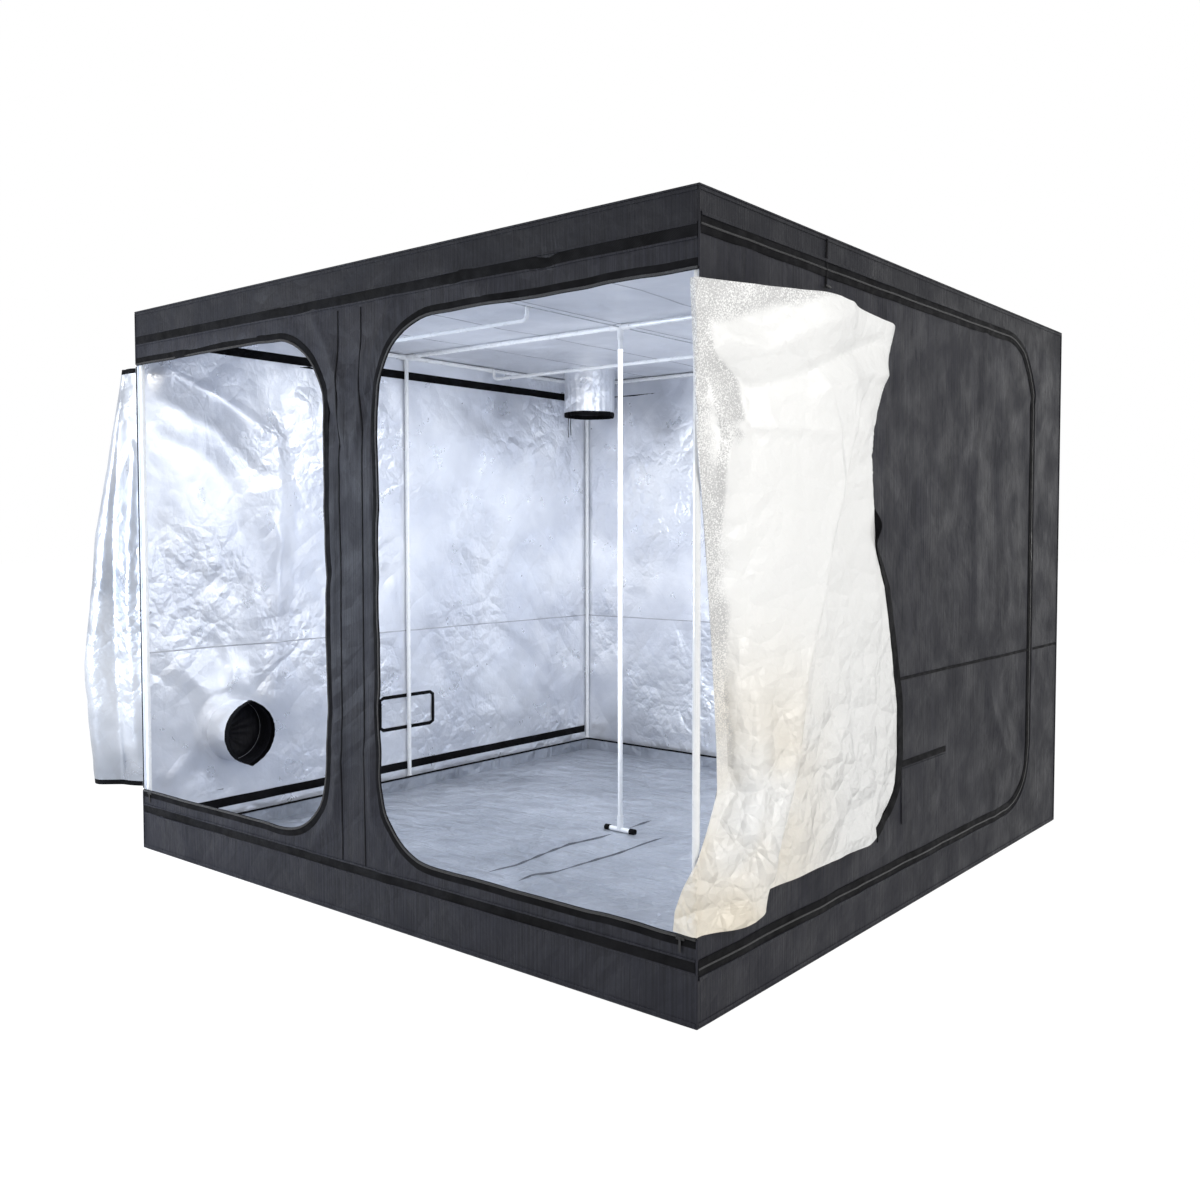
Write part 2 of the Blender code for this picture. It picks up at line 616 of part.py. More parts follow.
def thicken(part, thickness):
    wall = part.modifiers.new("cloth", "SOLIDIFY")
    wall.thickness = thickness
    wall.offset = 0


def sleeve(name, radius, length, lobes, pinch, material, place):
    """A duct sleeve that grows out of its wall along its own +Z.

    Ring k has a radius r(angle) = radius * (1 + ripple * cos(lobes * angle)) and the ripple and the pinch
    to an eye shape both grow from the wall to the mouth. The first two rings are the sewn flange."""
    seat = TOUCH_GAP + SLEEVE_CLOTH / 2
    hem = length - SLEEVE_HEM
    rise = np.array([seat, seat, seat + hem / 4, seat + hem / 2, seat + 3 * hem / 4, hem, length - SLEEVE_HEM / 2,
                     length])
    swell = np.array([SLEEVE_FLANGE, 0, 0, 0, 0, 0, SLEEVE_HEM_SWELL, 0])
    grown = np.clip((rise - seat) / (hem - seat), 0, 1)[:, None]
    angle = np.linspace(0, 2 * math.pi, SLEEVE_SIDES, endpoint=False)[None, :]
    reach = radius + swell[:, None] + SLEEVE_RIPPLE * grown * (np.cos(lobes * angle) - 1)
    x = reach * np.cos(angle) * (1 - pinch * grown * np.cos(angle) ** 2)
    y = reach * np.sin(angle)
    z = np.broadcast_to(rise[:, None], x.shape)
    part = add_part(name, sheet_mesh(name, np.stack([x, y, z], axis=-1), closed=True), material, place)
    thicken(part, SLEEVE_CLOTH)
    return part


def build_sleeves(lining, string):
    """The sleeve in the left wall, the one in the roof and the drawstring that hangs from it."""
    inside = Matrix.Translation((-HALF_WIDTH + WALL_CLOTH, WALL_SLEEVE_Y, WALL_SLEEVE_Z))
    sleeve("wall_duct_sleeve", WALL_SLEEVE_RADIUS, WALL_SLEEVE_LENGTH, WALL_SLEEVE_LOBES, WALL_SLEEVE_PINCH_SHARE, lining,
           inside @ Matrix((Y, Z, X)).transposed().to_4x4())
    roof = TENT_HEIGHT - WALL_CLOTH
    down = Matrix.Translation((ROOF_SLEEVE_X, ROOF_SLEEVE_Y, roof)) @ Matrix.Rotation(math.pi, 4, "X")
    sleeve("roof_duct_sleeve", ROOF_SLEEVE_RADIUS, ROOF_SLEEVE_LENGTH, ROOF_SLEEVE_LOBES, 0.0, lining, down)

    dip = SLEEVE_RIPPLE * (math.cos(ROOF_SLEEVE_LOBES * STRING_ANGLE) - 1)
    reach = ROOF_SLEEVE_RADIUS + SLEEVE_HEM_SWELL + dip + SLEEVE_CLOTH / 2 + TOUCH_GAP + STRING_RADIUS
    middle = Vector((ROOF_SLEEVE_X + reach * math.cos(STRING_ANGLE),
                     ROOF_SLEEVE_Y + reach * math.sin(STRING_ANGLE), roof - ROOF_SLEEVE_LENGTH + SLEEVE_HEM / 2))
    tangent = Vector((-math.sin(STRING_ANGLE), math.cos(STRING_ANGLE), 0))
    bottom = roof - ROOF_SLEEVE_LENGTH - STRING_TAIL
    drops = np.linspace(bottom, middle.z, 9)[:-1]
    path = [middle - tangent * STRING_SPREAD + Z * (z - middle.z) for z in drops]
    for step in range(ARC_STEPS + 1):
        angle = math.pi * step / ARC_STEPS
        path.append(middle + STRING_SPREAD * (Z * math.sin(angle) - tangent * math.cos(angle)))
    path += [middle + tangent * STRING_SPREAD + Z * (z - middle.z + STRING_TAIL_STEP * (middle.z - z) / STRING_TAIL)
             for z in drops[::-1]]
    curve = bpy.data.curves.new("drawstring", "CURVE")
    curve.dimensions = "3D"
    curve.bevel_depth = STRING_RADIUS
    curve.bevel_resolution = 2
    curve.use_fill_caps = True
    spline = curve.splines.new("POLY")
    spline.points.add(len(path) - 1)
    for point, place in zip(spline.points, path):
        point.co = (*place, 1)
    add_part("drawstring", curve, string)


def smooth_path(stations, samples):
    """A Catmull-Rom curve through the stations, sampled evenly by length, for many rows at once.

    stations has the shape rows, stations, 2. Each stretch is the cubic through its two ends whose slope
    at an end is half the step between that end's neighbours."""
    padded = np.concatenate([2 * stations[:, :1] - stations[:, 1:2], stations,
                             2 * stations[:, -1:] - stations[:, -2:-1]], axis=1)
    before, start, end, after = (padded[:, i:padded.shape[1] - 3 + i, None] for i in range(4))
    t = np.linspace(0, 1, 17)[:-1][None, None, :, None]
    curve = start + 0.5 * t * (end - before) + t * t * (before - 2.5 * start + 2 * end - 0.5 * after)
    curve = curve + t ** 3 * (1.5 * (start - end) + 0.5 * (after - before))
    curve = curve.reshape(len(stations), -1, 2)
    curve = np.concatenate([curve, stations[:, -1:]], axis=1)
    length = np.linalg.norm(np.diff(curve, axis=1), axis=2).cumsum(axis=1)
    length = np.concatenate([np.zeros((len(stations), 1)), length], axis=1) / length[:, -1:]
    return np.stack([np.stack([np.interp(samples, row_length, row[:, axis]) for axis in (0, 1)], axis=-1)
                     for row_length, row in zip(length, curve)])


def draped_door(name, side, width, height_shares, path_shares, lift_shares, lean, material):
    """A front door hanging open round its corner.

    A point of the cloth is its cut place c across the door and height z. At each height the cloth follows
    a folded path in plan. The path is blended smoothly between the stated heights, c runs along it by
    length, and the hem behind the main fold is lifted."""
    low, high = SILL_TOP + DOOR_TRIM, HEADER_BOTTOM - DOOR_TRIM
    height = high - low
    u = np.linspace(0, 1, DOOR_COLUMNS + 1)
    cut = u * (1 - DOOR_CROWDING_SHARE) + DOOR_CROWDING_SHARE * u * u
    rounding = np.clip(cut * width - (width - DOOR_CORNER_RADIUS), 0, None)
    trim = DOOR_CORNER_RADIUS - np.sqrt(np.clip(DOOR_CORNER_RADIUS ** 2 - rounding ** 2, 0, None))
    v = np.linspace(0, 1, DOOR_ROWS + 1)[:, None]
    z = (low + trim)[None, :] + v * (height - 2 * trim)[None, :]
    share = (z - low) / height

    levels = np.linspace(0, 1, 49)
    stations = np.array(path_shares) * width
    heights = np.array(height_shares)
    blended = np.stack([[np.interp(levels, heights, stations[:, i, axis]) for axis in (0, 1)]
                        for i in range(stations.shape[1])])
    kernel = np.array([1, 4, 6, 4, 1]) / 16
    padded = np.pad(blended, ((0, 0), (0, 0), (2, 2)), mode="edge")
    blended = sum(weight * padded[:, :, i:i + len(levels)] for i, weight in enumerate(kernel))
    paths = smooth_path(blended.transpose(2, 0, 1), cut)

    place = np.empty(z.shape + (2,))
    for column in range(len(cut)):
        for axis in (0, 1):
            place[:, column, axis] = np.interp(share[:, column], levels, paths[:, column, axis])
    lift, start, end = (value * width for value in lift_shares)
    ramp = np.clip((cut * width - start) / (end - start), 0, 1)[None, :]
    z = z + lift * ramp * ramp * (3 - 2 * ramp) * (1 - share)

    lean = math.radians(lean)
    out = np.maximum(place[..., 1] * math.cos(lean) + place[..., 0] * math.sin(lean), 0)
    back = place[..., 0] * math.cos(lean) - place[..., 1] * math.sin(lean)
    points = np.stack([side * out, back, z], axis=-1)
    hinge = Vector((side * (HALF_WIDTH + HINGE_OFFSET), -(HALF_DEPTH + HINGE_OFFSET), 0))
    part = add_part(name, sheet_mesh(name, points, closed=False), material, Matrix.Translation(hinge))
    thicken(part, DOOR_CLOTH)
    return part


def build_doors(lining):
    right = HALF_WIDTH - MULLION_RIGHT - DOOR_EDGE_TRIM
    draped_door("front_right_door", 1, right, RIGHT_HEIGHT_SHARES, RIGHT_PATH_SHARES, RIGHT_LIFT_SHARES,
                RIGHT_LEAN_DEG, lining)
    left = HALF_WIDTH + MULLION_LEFT - DOOR_EDGE_TRIM
    draped_door("front_left_door", -1, left, LEFT_HEIGHT_SHARES, LEFT_PATH_SHARES, LEFT_LIFT_SHARES,
                LEFT_LEAN_DEG, lining)


def slider_mesh():
    """A zip slider that runs along its own y, stands on its own z = 0 and hangs its pull towards -y."""
    body = block((SLIDER_WIDTH, SLIDER_LENGTH, SLIDER_THICKNESS), (0, 0, SLIDER_THICKNESS / 2), SLIDER_BEVEL)
    height = SLIDER_THICKNESS + TAB_THICKNESS / 2 - TAB_BITE
    tab = block((TAB_WIDTH, TAB_LENGTH, TAB_THICKNESS), (0, -TAB_LENGTH / 2, height))
    return fused("slider", [body, tab])


def crosswise_slider_mesh():
    """The slider of a level zip: its body lies along x and its pull hangs towards -y."""
    body = block((SLIDER_LENGTH, SLIDER_WIDTH, SLIDER_THICKNESS), (0, 0, SLIDER_THICKNESS / 2), SLIDER_BEVEL)
    height = SLIDER_THICKNESS + TAB_THICKNESS / 2 - TAB_BITE
    tab = block((TAB_WIDTH, TAB_LENGTH, TAB_THICKNESS), (0, -TAB_LENGTH / 2, height))
    return fused("crosswise_slider", [body, tab])


def build_sliders(metal):
    """Two sliders on the side door's upright zip, and one on the sill of each front door."""
    upright = slider_mesh()
    out = HALF_WIDTH + TOUCH_GAP
    for name, z in (("side_zip_slider_upper", SIDE_SLIDER_Z + SIDE_SLIDER_SPREAD),
                    ("side_zip_slider_lower", SIDE_SLIDER_Z - SIDE_SLIDER_SPREAD)):
        add_part(name, upright.copy(), metal, wall_place(Y, (out, SIDE_DOOR_FAR, z)))
    level = crosswise_slider_mesh()
    out = -(HALF_DEPTH + TOUCH_GAP)
    for name, side in (("front_right_zip_slider", 1), ("front_left_zip_slider", -1)):
        x = side * (HALF_WIDTH - FRONT_SLIDER_INSET)
        add_part(name, level.copy(), metal, wall_place(X, (x, out, SILL_TOP - FRONT_SLIDER_DROP)))


clear_scene()
PARTS = new_collection("grow_tent")
CUTTERS = new_collection("cutters")

build_frame(WHITE_PAINT, WHITE_PLASTIC, WIRE_STEEL)
build_centre_post(WHITE_PAINT, WHITE_PLASTIC)
build_hanging_bars(WHITE_PAINT)
build_cover(BLACK_CLOTH)
build_tray(TRAY_CLOTH_LOOK)
build_vent_flaps(BLACK_CLOTH)
build_sleeves(SILVER_LINING, BLACK_CORD)
build_doors(SILVER_LINING)
build_sliders(BLACK_METAL)
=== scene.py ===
"""Indoor grow tent, as the photograph shows it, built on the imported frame.

Metres, +Z up, the front wall faces -Y. Every cloth node of the frame is replaced by cloth with folds, seams,
tapes and a silver lining. The tubes and connectors stay and get painted and moulded materials.
"""

import math

import bmesh
import bpy
import numpy as np
from mathutils import Matrix, Vector


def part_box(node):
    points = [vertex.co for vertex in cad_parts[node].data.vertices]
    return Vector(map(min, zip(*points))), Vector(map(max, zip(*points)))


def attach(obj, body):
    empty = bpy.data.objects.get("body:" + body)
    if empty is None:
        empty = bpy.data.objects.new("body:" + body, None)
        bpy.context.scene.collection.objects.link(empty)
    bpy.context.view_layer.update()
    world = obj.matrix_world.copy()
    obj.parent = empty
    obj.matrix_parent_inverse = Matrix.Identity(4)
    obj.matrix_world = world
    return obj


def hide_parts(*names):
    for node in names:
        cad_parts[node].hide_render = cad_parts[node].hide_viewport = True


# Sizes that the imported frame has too
HALF = 1.275
HEIGHT = 2.0
CLOTH = 0.0015
GAP = 0.0003
SILL_TOP, HEADER_BOTTOM = 0.2225, 1.805
MULLION_LEFT, MULLION_RIGHT = -0.152, 0.108
OPENING_TOP_RADIUS, OPENING_BOTTOM_RADIUS = 0.25, 0.23
SIDE_LOW, SIDE_HIGH, SIDE_FAR = 0.147, 1.910, 0.955
SIDE_TOP_RADIUS, SIDE_BOTTOM_RADIUS = 0.27, 0.22
VENT_HALF, VENT_LOW, VENT_HIGH = 0.150, 0.295, 0.428
WALL_SLEEVE = Vector((-HALF, -0.895, 0.395))
ROOF_SLEEVE = Vector((-0.93, 0.90, HEIGHT))
WALL_SLEEVE_RADIUS, ROOF_SLEEVE_RADIUS = 0.120, 0.125
DOOR_THICKNESS = 0.0025
HINGE = GAP + DOOR_THICKNESS / 2
FOOT_CAP = 0.0224
DOOR_LOW, DOOR_HIGH = SILL_TOP + 0.0045, HEADER_BOTTOM - 0.0045
DOOR_HEM, DOOR_CORNER = 0.018, 0.24
OUT_OF_PLANE = CLOTH + GAP
# Cloth and trim that the frame doesn't show in detail
DOOR_CLOTH, TRAY_CLOTH = 0.0016, 0.001
OUTER_SLEEVE_LENGTH, OUTER_SLEEVE_DROOP = 0.110, 0.035
# Seams and zips, each as its width and thickness
EDGE_SEAM, CROSS_SEAM, LINING_SEAM = (0.009, 0.0022), (0.009, 0.0035), (0.005, 0.0010)
STITCH, MULLION_SEAM, CEILING_SEAM = (0.006, 0.0026), (0.006, 0.0012), (0.007, 0.0010)
FRONT_ZIP, SIDE_ZIP = (0.007, 0.0034), (0.006, 0.0046)
# The studio: how far the floor reaches and how far it lies below the tent, the world's light on the object, and
# the floor's own glow and its share in what the camera sees
FLOOR_REACH, FLOOR_DEPTH = 40, 0.002
WORLD_LIGHT, FLOOR_GLOW, GLOW_SHARE = 0.38, 1.4, 0.65

# The photograph's camera, solved from the corners of the tent
CAMERA_PLACE = (2.829, -3.473, 1.194)
CAMERA_YAW, CAMERA_PITCH, CAMERA_ROLL = math.radians(38.21), math.radians(2.46), math.radians(-0.06)
PHOTO_SIZE = 1200
FOCAL_PIXELS = 1142.9
CENTRE_PIXELS = (639.4, 580.3)

X, Y, Z = (np.array(axis, float) for axis in ((1, 0, 0), (0, 1, 0), (0, 0, 1)))

# Each wall's origin, its directions across, up and out, how far it reaches across and up, and its seed
WIDE, BETWEEN = (-HALF, HALF), (-HALF + OUT_OF_PLANE, HALF - OUT_OF_PLANE)
TALL = (OUT_OF_PLANE, HEIGHT - OUT_OF_PLANE)
WALLS = {
    "front": (-HALF * Y, X, Z, -Y, WIDE, TALL, 11),
    "right": (HALF * X, Y, Z, X, BETWEEN, TALL, 12),
    "back": (HALF * Y, -X, Z, Y, WIDE, TALL, 13),
    "left": (-HALF * X, -Y, Z, -X, BETWEEN, TALL, 14),
    "roof": (HEIGHT * Z, X, Y, Z, WIDE, WIDE, 15),
    "floor": (0 * Z, X, -Y, -Z, WIDE, WIDE, 16),
}
# How far each wall billows, as the size of its soft waves and of its sharp creases
BILLOWS = {"front": (.0035, .0065), "right": (.0040, .0060), "back": (.0060, .0065), "left": (.0065, .0075),
           "roof": (.0050, .0035), "floor": (0, 0)}
# Folds of the walls that stand out in the photograph: the line of each, its height and its width
WALL_FOLDS = {
    "left": (
        (((1.160, 1.790), (.955, 1.709), (.696, 1.561), (.677, 1.240), (.697, .910), (.727, .497)), -.034, .105),
        (((1.232, 1.236), (1.155, 1.084), (1.000, 1.000), (.900, .980)), .009, .040),
        (((1.240, .860), (1.100, .640), (.970, .520)), -.010, .060),
        (((.972, .764), (.910, .519)), .008, .050),
        (((1.200, 1.560), (1.020, 1.500), (.880, 1.360), (.860, 1.200)), .008, .045),
        (((.640, 1.740), (.600, 1.300), (.640, .620)), .012, .060),
        (((1.160, .260), (.960, .440), (.900, .640)), -.014, .040),
        (((1.050, .260), (.880, .400), (.800, .560)), .010, .040),
        (((1.220, 1.700), (.960, 1.590), (.760, 1.420)), .009, .030),
    ),
    "right": (
        (((.470, 1.880), (.420, 1.500), (.397, 1.300), (.420, .900)), .006, .030),
        (((.560, 1.560), (.600, 1.240), (.610, .900)), -.005, .050),
        (((.800, 1.350), (.830, 1.100), (.820, .850)), .006, .050),
        (((.560, .560), (.700, .380), (.860, .300)), .012, .035),
        (((.700, .640), (.800, .480), (.900, .420)), -.009, .030),
        (((.100, 1.200), (.300, 1.500), (.520, 1.700)), .007, .060),
    ),
    "front": (
        (((-.095, 1.700), (-.060, 1.480), (-.030, 1.400), (.010, 1.490), (.050, 1.720)), .009, .018),
        (((-.120, 1.560), (-.070, 1.460), (-.030, 1.430)), -.008, .016),
        (((.085, 1.600), (.030, 1.470), (-.010, 1.430)), -.008, .016),
        (((-.200, 1.860), (-.110, 1.740), (-.060, 1.640)), .009, .018),
        (((.180, 1.850), (.100, 1.730), (.060, 1.620)), .009, .018),
        (((-.230, .190), (-.120, .300), (-.080, .480)), .008, .020),
        (((.180, .190), (.080, .310), (.050, .520)), .008, .020),
        (((-.104, .300), (-.112, .900), (-.100, 1.400)), .005, .013),
        (((.070, .350), (.078, 1.000), (.066, 1.500)), .005, .013),
        (((-1.000, 1.820), (-.700, 1.860), (-.500, 1.840)), .006, .020),
        (((.250, 1.960), (.420, 1.930), (.560, 1.830)), .006, .025),
        (((.700, 1.830), (.900, 1.950), (1.150, 1.960)), -.005, .025),
        (((-.600, 1.960), (-.400, 1.930), (-.250, 1.850)), -.005, .025),
    ),
}
# Where a wall stays flat: the line along a zip's run, a vent or a duct port, how far round it the cloth is flat
# and where the full billow begins
FLAT_RUNS = {
    "front": ((((.340, .203), (1.270, .203)), .030, .080), (((-1.270, .203), (-.390, .203)), .030, .080)),
    "right": ((((SIDE_FAR, .380), (SIDE_FAR, 1.660)), .018, .065), (((-.110, .375), (.110, .375)), .100, .170)),
    "left": ((((-.110, .375), (.110, .375)), .100, .170), (((.895, .395), (.896, .395)), .126, .190)),
    "roof": ((((-.930, .900), (-.929, .900)), .132, .190),),
}

# How the right door hangs at seven heights, as shares of its own: the way back from the corner and out from the
# side wall, as shares of its width, after the few centimetres that wrap the corner
RIGHT_LEVELS = (0.0, 0.10, 0.27, 0.50, 0.70, 0.86, 1.0)
RIGHT_PATHS = (
    ((.055, .022), (.097, .052), (.150, .066), (.167, .050), (.137, .025), (.385, .030), (.650, .034), (.890, .030)),
    ((.062, .026), (.113, .061), (.165, .078), (.188, .060), (.152, .026), (.395, .031), (.655, .035), (.895, .030)),
    ((.088, .036), (.165, .074), (.247, .091), (.274, .070), (.232, .030), (.440, .034), (.675, .035), (.885, .030)),
    ((.122, .048), (.234, .087), (.338, .100), (.364, .078), (.300, .035), (.480, .035), (.690, .039), (.800, .030)),
    ((.156, .061), (.295, .100), (.434, .109), (.464, .087), (.386, .043), (.520, .039), (.694, .037), (.640, .022)),
    ((.173, .065), (.312, .113), (.434, .113), (.520, .087), (.590, .069), (.668, .061), (.694, .039), (.480, .024)),
    ((.165, .067), (.278, .127), (.399, .117), (.506, .099), (.625, .087), (.716, .078), (.751, .056), (.610, .026)),
)
# How far its free foot lifts, and where across the door that begins and ends, as shares of its width
RIGHT_LIFT = (0.045, 0.12, 0.32)
# Its first four stations: the way back and out where it starts on the side wall, and where it starts on the front
# wall, the way forwards, how much of the corner's pull it takes and the way out
WRAP_STATIONS = ((0.0, 0.0, 0.0025, 1.0, 0.0), (0.012, 0.002, 0.007, 0.55, 0.0), (0.024, 0.004, 0.006, 0.0, 0.001),
                 (0.038, 0.008, -0.014, 0.0, 0.003))
# Its folds: the line of each, as the way across the door and the height, its height and its width
RIGHT_FOLDS = (
    (((.010, 1.690), (.096, 1.735), (.215, 1.706), (.360, 1.800)), -.014, .022),
    (((.030, 1.625), (.110, 1.665), (.230, 1.640), (.400, 1.725), (.560, 1.775)), .022, .045),
    (((.060, 1.590), (.200, 1.550), (.384, 1.595)), -.018, .030),
    (((.384, 1.600), (.537, 1.655), (.700, 1.695), (.860, 1.740)), -.024, .026),
    (((.430, 1.560), (.600, 1.600), (.760, 1.640), (.900, 1.650)), .014, .030),
    (((.384, 1.612), (.508, 1.456), (.499, 1.254), (.430, 1.100), (.355, .944), (.288, .804), (.249, .664),
      (.240, .500), (.249, .323)), .014, .022),
    (((.580, 1.430), (.570, 1.250), (.500, 1.080), (.420, .940), (.360, .804)), -.018, .030),
    (((.015, 1.645), (.060, 1.540), (.113, 1.424), (.055, 1.280), (.029, 1.223)), .015, .018),
    (((.150, 1.520), (.170, 1.480), (.200, 1.440)), -.012, .030),
    (((.125, 1.457), (.300, 1.450), (.480, 1.443)), .008, .011),
    (((.660, 1.560), (.680, 1.400), (.640, 1.250)), .010, .025),
    (((.125, .789), (.110, .600), (.090, .431)), .012, .028),
    (((.200, .760), (.180, .560), (.165, .360)), -.015, .028),
    (((.060, .700), (.050, .500), (.048, .330)), -.008, .018),
    (((.640, 1.200), (.700, .950), (.786, .680), (.800, .480)), .007, .022),
    (((.880, 1.250), (.930, .950), (.960, .620)), -.006, .020),
    (((.520, .760), (.640, .600), (.780, .520), (.940, .500)), .006, .020),
)

# Where the right door leaves the tent: for each height, how far behind the corner, or before it if negative
CORNER_HEIGHTS = (0.222, 0.276, 0.331, 0.395, 0.476, 0.558, 0.672, 0.914, 1.197, 1.394, 1.605, 1.782)
CORNER_PULLS = (-0.070, -0.064, -0.043, -0.006, 0.042, 0.083, 0.078, 0.056, 0.024, -0.004, -0.014, -0.024)

# How the left door hangs at four heights, in the same way, but along a line that leans out from the left wall
LEFT_LEVELS = (0.0, 0.30, 0.75, 1.0)
LEFT_PATHS = (
    ((0, 0), (.015, -.010), (.024, -.003), (.028, .011), (.032, .043), (.040, .123), (.046, .180), (.095, .200),
     (.197, .145), (.283, .022), (.390, -.140), (.510, -.285)),
    ((0, 0), (.015, -.010), (.024, -.003), (.028, .011), (.032, .043), (.040, .127), (.045, .200), (.110, .226),
     (.213, .150), (.286, .019), (.390, -.143), (.500, -.278)),
    ((0, 0), (.015, -.010), (.024, -.003), (.028, .009), (.032, .033), (.040, .082), (.045, .122), (.090, .145),
     (.180, .100), (.275, -.015), (.400, -.165), (.540, -.320)),
    ((0, 0), (.015, -.010), (.024, -.004), (.028, .006), (.031, .022), (.038, .053), (.045, .075), (.080, .085),
     (.160, .050), (.280, -.065), (.420, -.215), (.580, -.365)),
)
LEFT_LIFT = (-0.030, 0.54, 0.98)
LEFT_LEAN = math.radians(35)
LEFT_FOLDS = (
    (((.150, 1.800), (.190, 1.200), (.160, .240)), -.016, .030),
    (((.290, 1.780), (.270, 1.100), (.330, .240)), .014, .030),
    (((.080, 1.500), (.110, .900), (.070, .300)), .010, .022),
    (((.400, 1.700), (.380, 1.000), (.430, .300)), -.012, .030),
    (((.560, 1.650), (.600, .900), (.550, .300)), .012, .040),
)

# Each lamp's name, place, target, size, power in watts and colour
LAMPS = (
    ("key_right", (5.2, -2.6, 2.9), (1.2, -0.6, 1.0), (1.5, 1.5), 119, (1.0, 0.985, 0.96)),
    ("fill_front", (-2.6, -4.8, 1.5), (-0.1, -0.6, 1.1), (2.2, 1.6), 62, (0.97, 0.98, 1.0)),
    ("rim_right", (3.1, 4.7, 1.7), (1.3, 0.3, 1.0), (1.6, 1.6), 12, (1, 1, 1)),
    ("inside_top", (0.1, -0.1, 1.90), (0.1, -0.1, 0), (1.5, 1.5), 20.5, (0.96, 0.98, 1.0)),
    ("inside_right", (1.00, 0.55, 1.10), (-1.27, -0.7, 1.05), (0.5, 1.4), 4, (0.97, 0.985, 1.0)),
    ("inside_back", (-0.2, -0.3, 1.00), (-0.8, 1.275, 1.05), (0.8, 1.2), 5, (1.0, 1.0, 1.0)),
    ("mullion_left", (-1.62, -2.50, 1.10), (-0.02, -1.275, 1.05), (0.5, 0.9), 28, (0.68, 0.80, 1.0)),
)

# The tray's pinched creases in the photograph. The first two are one crease that runs under the centre foot.
TRAY_CREASES = (
    ((-.018, -.723), (-.019, -.679), (-.001, -.588), (-.020, -.427), (-.030, -.274), (.004, -.125), (.002, -.040)),
    ((.002, .040), (.002, .068), (-.001, .218)),
    ((.135, -.732), (.125, -.633), (.165, -.571), (.173, -.420), (.188, -.246), (.180, -.091), (.185, .051)),
)


# Numbers

def smooth(low, high, value):
    """0 below low, 1 above high, and 3t^2 - 2t^3 between them."""
    t = np.clip((value - low) / (high - low), 0, 1)
    return t * t * (3 - 2 * t)


def lattice(i, j, seed):
    """A repeatable number from -1 to 1 for each corner of a whole-number grid."""
    n = (i * 374761393 + j * 668265263 + seed * 982451653) & 0x7FFFFFFF
    n = ((n ^ (n >> 13)) * 1274126177) & 0x7FFFFFFF
    return ((n ^ (n >> 16)) & 0xFFFF) / 32767.5 - 1


def noise(u, v, seed):
    """Smooth noise with cells one unit across, from -1 to 1."""
    i, j = np.floor(u).astype(np.int64), np.floor(v).astype(np.int64)
    a, b = u - i, v - j
    a, b = a * a * (3 - 2 * a), b * b * (3 - 2 * b)
    low = lattice(i, j, seed) * (1 - a) + lattice(i + 1, j, seed) * a
    high = lattice(i, j + 1, seed) * (1 - a) + lattice(i + 1, j + 1, seed) * a
    return low * (1 - b) + high * b


def creases(u, v, seed, count, box, reach, width, tilt=0.0):
    """The sharp folds of a stiff film: the sum of s exp(-|d| / width) exp(-(t / reach)^2) over count folds, with
    a slightly blunt crest. d is the distance across a fold, t the distance along it and s a random size. box is
    where their middles lie and tilt, in radians, is what their directions favour."""
    rng = np.random.default_rng(seed)
    total = np.zeros(np.broadcast(u, v).shape)
    for _ in range(count):
        cu, cv = rng.uniform(box[0], box[1]), rng.uniform(box[2], box[3])
        angle = tilt + rng.normal(0, 0.55)
        size, long = rng.uniform(-1, 1), reach * rng.uniform(0.5, 1.5)
        du, dv = u - cu, v - cv
        t = du * math.cos(angle) + dv * math.sin(angle)
        d = dv * math.cos(angle) - du * math.sin(angle)
        across = width * rng.uniform(0.6, 1.6)
        total += size * np.exp((0.2 * width - np.hypot(d, 0.2 * width)) / across) * np.exp(-((t / long) ** 2))
    return total


def away(u, v, line):
    """The distance to a line of straight stretches."""
    best = np.full(np.broadcast(u, v).shape, 9.0)
    for (a, b), (c, d) in zip(line[:-1], line[1:]):
        t = np.clip(((u - a) * (c - a) + (v - b) * (d - b)) / ((c - a) ** 2 + (d - b) ** 2), 0, 1)
        best = np.minimum(best, np.hypot(u - a - t * (c - a), v - b - t * (d - b)))
    return best


def ridge(u, v, line, width, blunt=0.006):
    """exp(-(sqrt(d^2 + b^2) - b) / width), where d is the distance to a line and b blunts the crest."""
    return np.exp((blunt - np.hypot(away(u, v, line), blunt)) / width)


def billow(wall, u, v):
    """How far the cloth of a wall stands out of its plane, in metres.

    d = g (m (a n + c k) + f), with the soft noise n, the creases k and the stated folds f. The mask m is zero at
    the wall's borders and along the post or bars behind its middle, so that the walls meet and no tube comes
    through. The mask g is zero round zips, vents and duct ports. f fades at the borders too, and what stands
    inwards fades towards the middle."""
    *_, across, up, seed = WALLS[wall]
    waves, folds = BILLOWS[wall]
    if not waves:
        return np.zeros(np.broadcast(u, v).shape)
    border = np.minimum(np.minimum(u - across[0], across[1] - u), np.minimum(v - up[0], up[1] - v))
    middle = np.minimum(np.abs(u), np.abs(v)) if wall == "roof" else np.abs(u)
    mask = smooth(0.03, 0.16, border) * (0.08 + 0.92 * smooth(0.02, 0.14, middle))
    soft = noise(u * 3.1, v * 2.3, seed) + 0.55 * noise(u * 7.3 + 5, v * 5.9, seed + 40)
    box = (*across, *up)
    sharp = creases(u, v, seed, 70, box, 0.22, 0.045, 0.9) + 0.6 * creases(u, v, seed + 7, 90, box, 0.12, 0.02, -0.7)
    stated = stated_folds(u, v, WALL_FOLDS.get(wall, ()))
    total = mask * (waves * soft + folds * sharp) + smooth(0.02, 0.10, border) * stated
    for line, flat, full in FLAT_RUNS.get(wall, ()):
        total = total * smooth(flat, full, away(u, v, line))
    return np.where(total < 0, total * smooth(0.015, 0.06, middle), total)


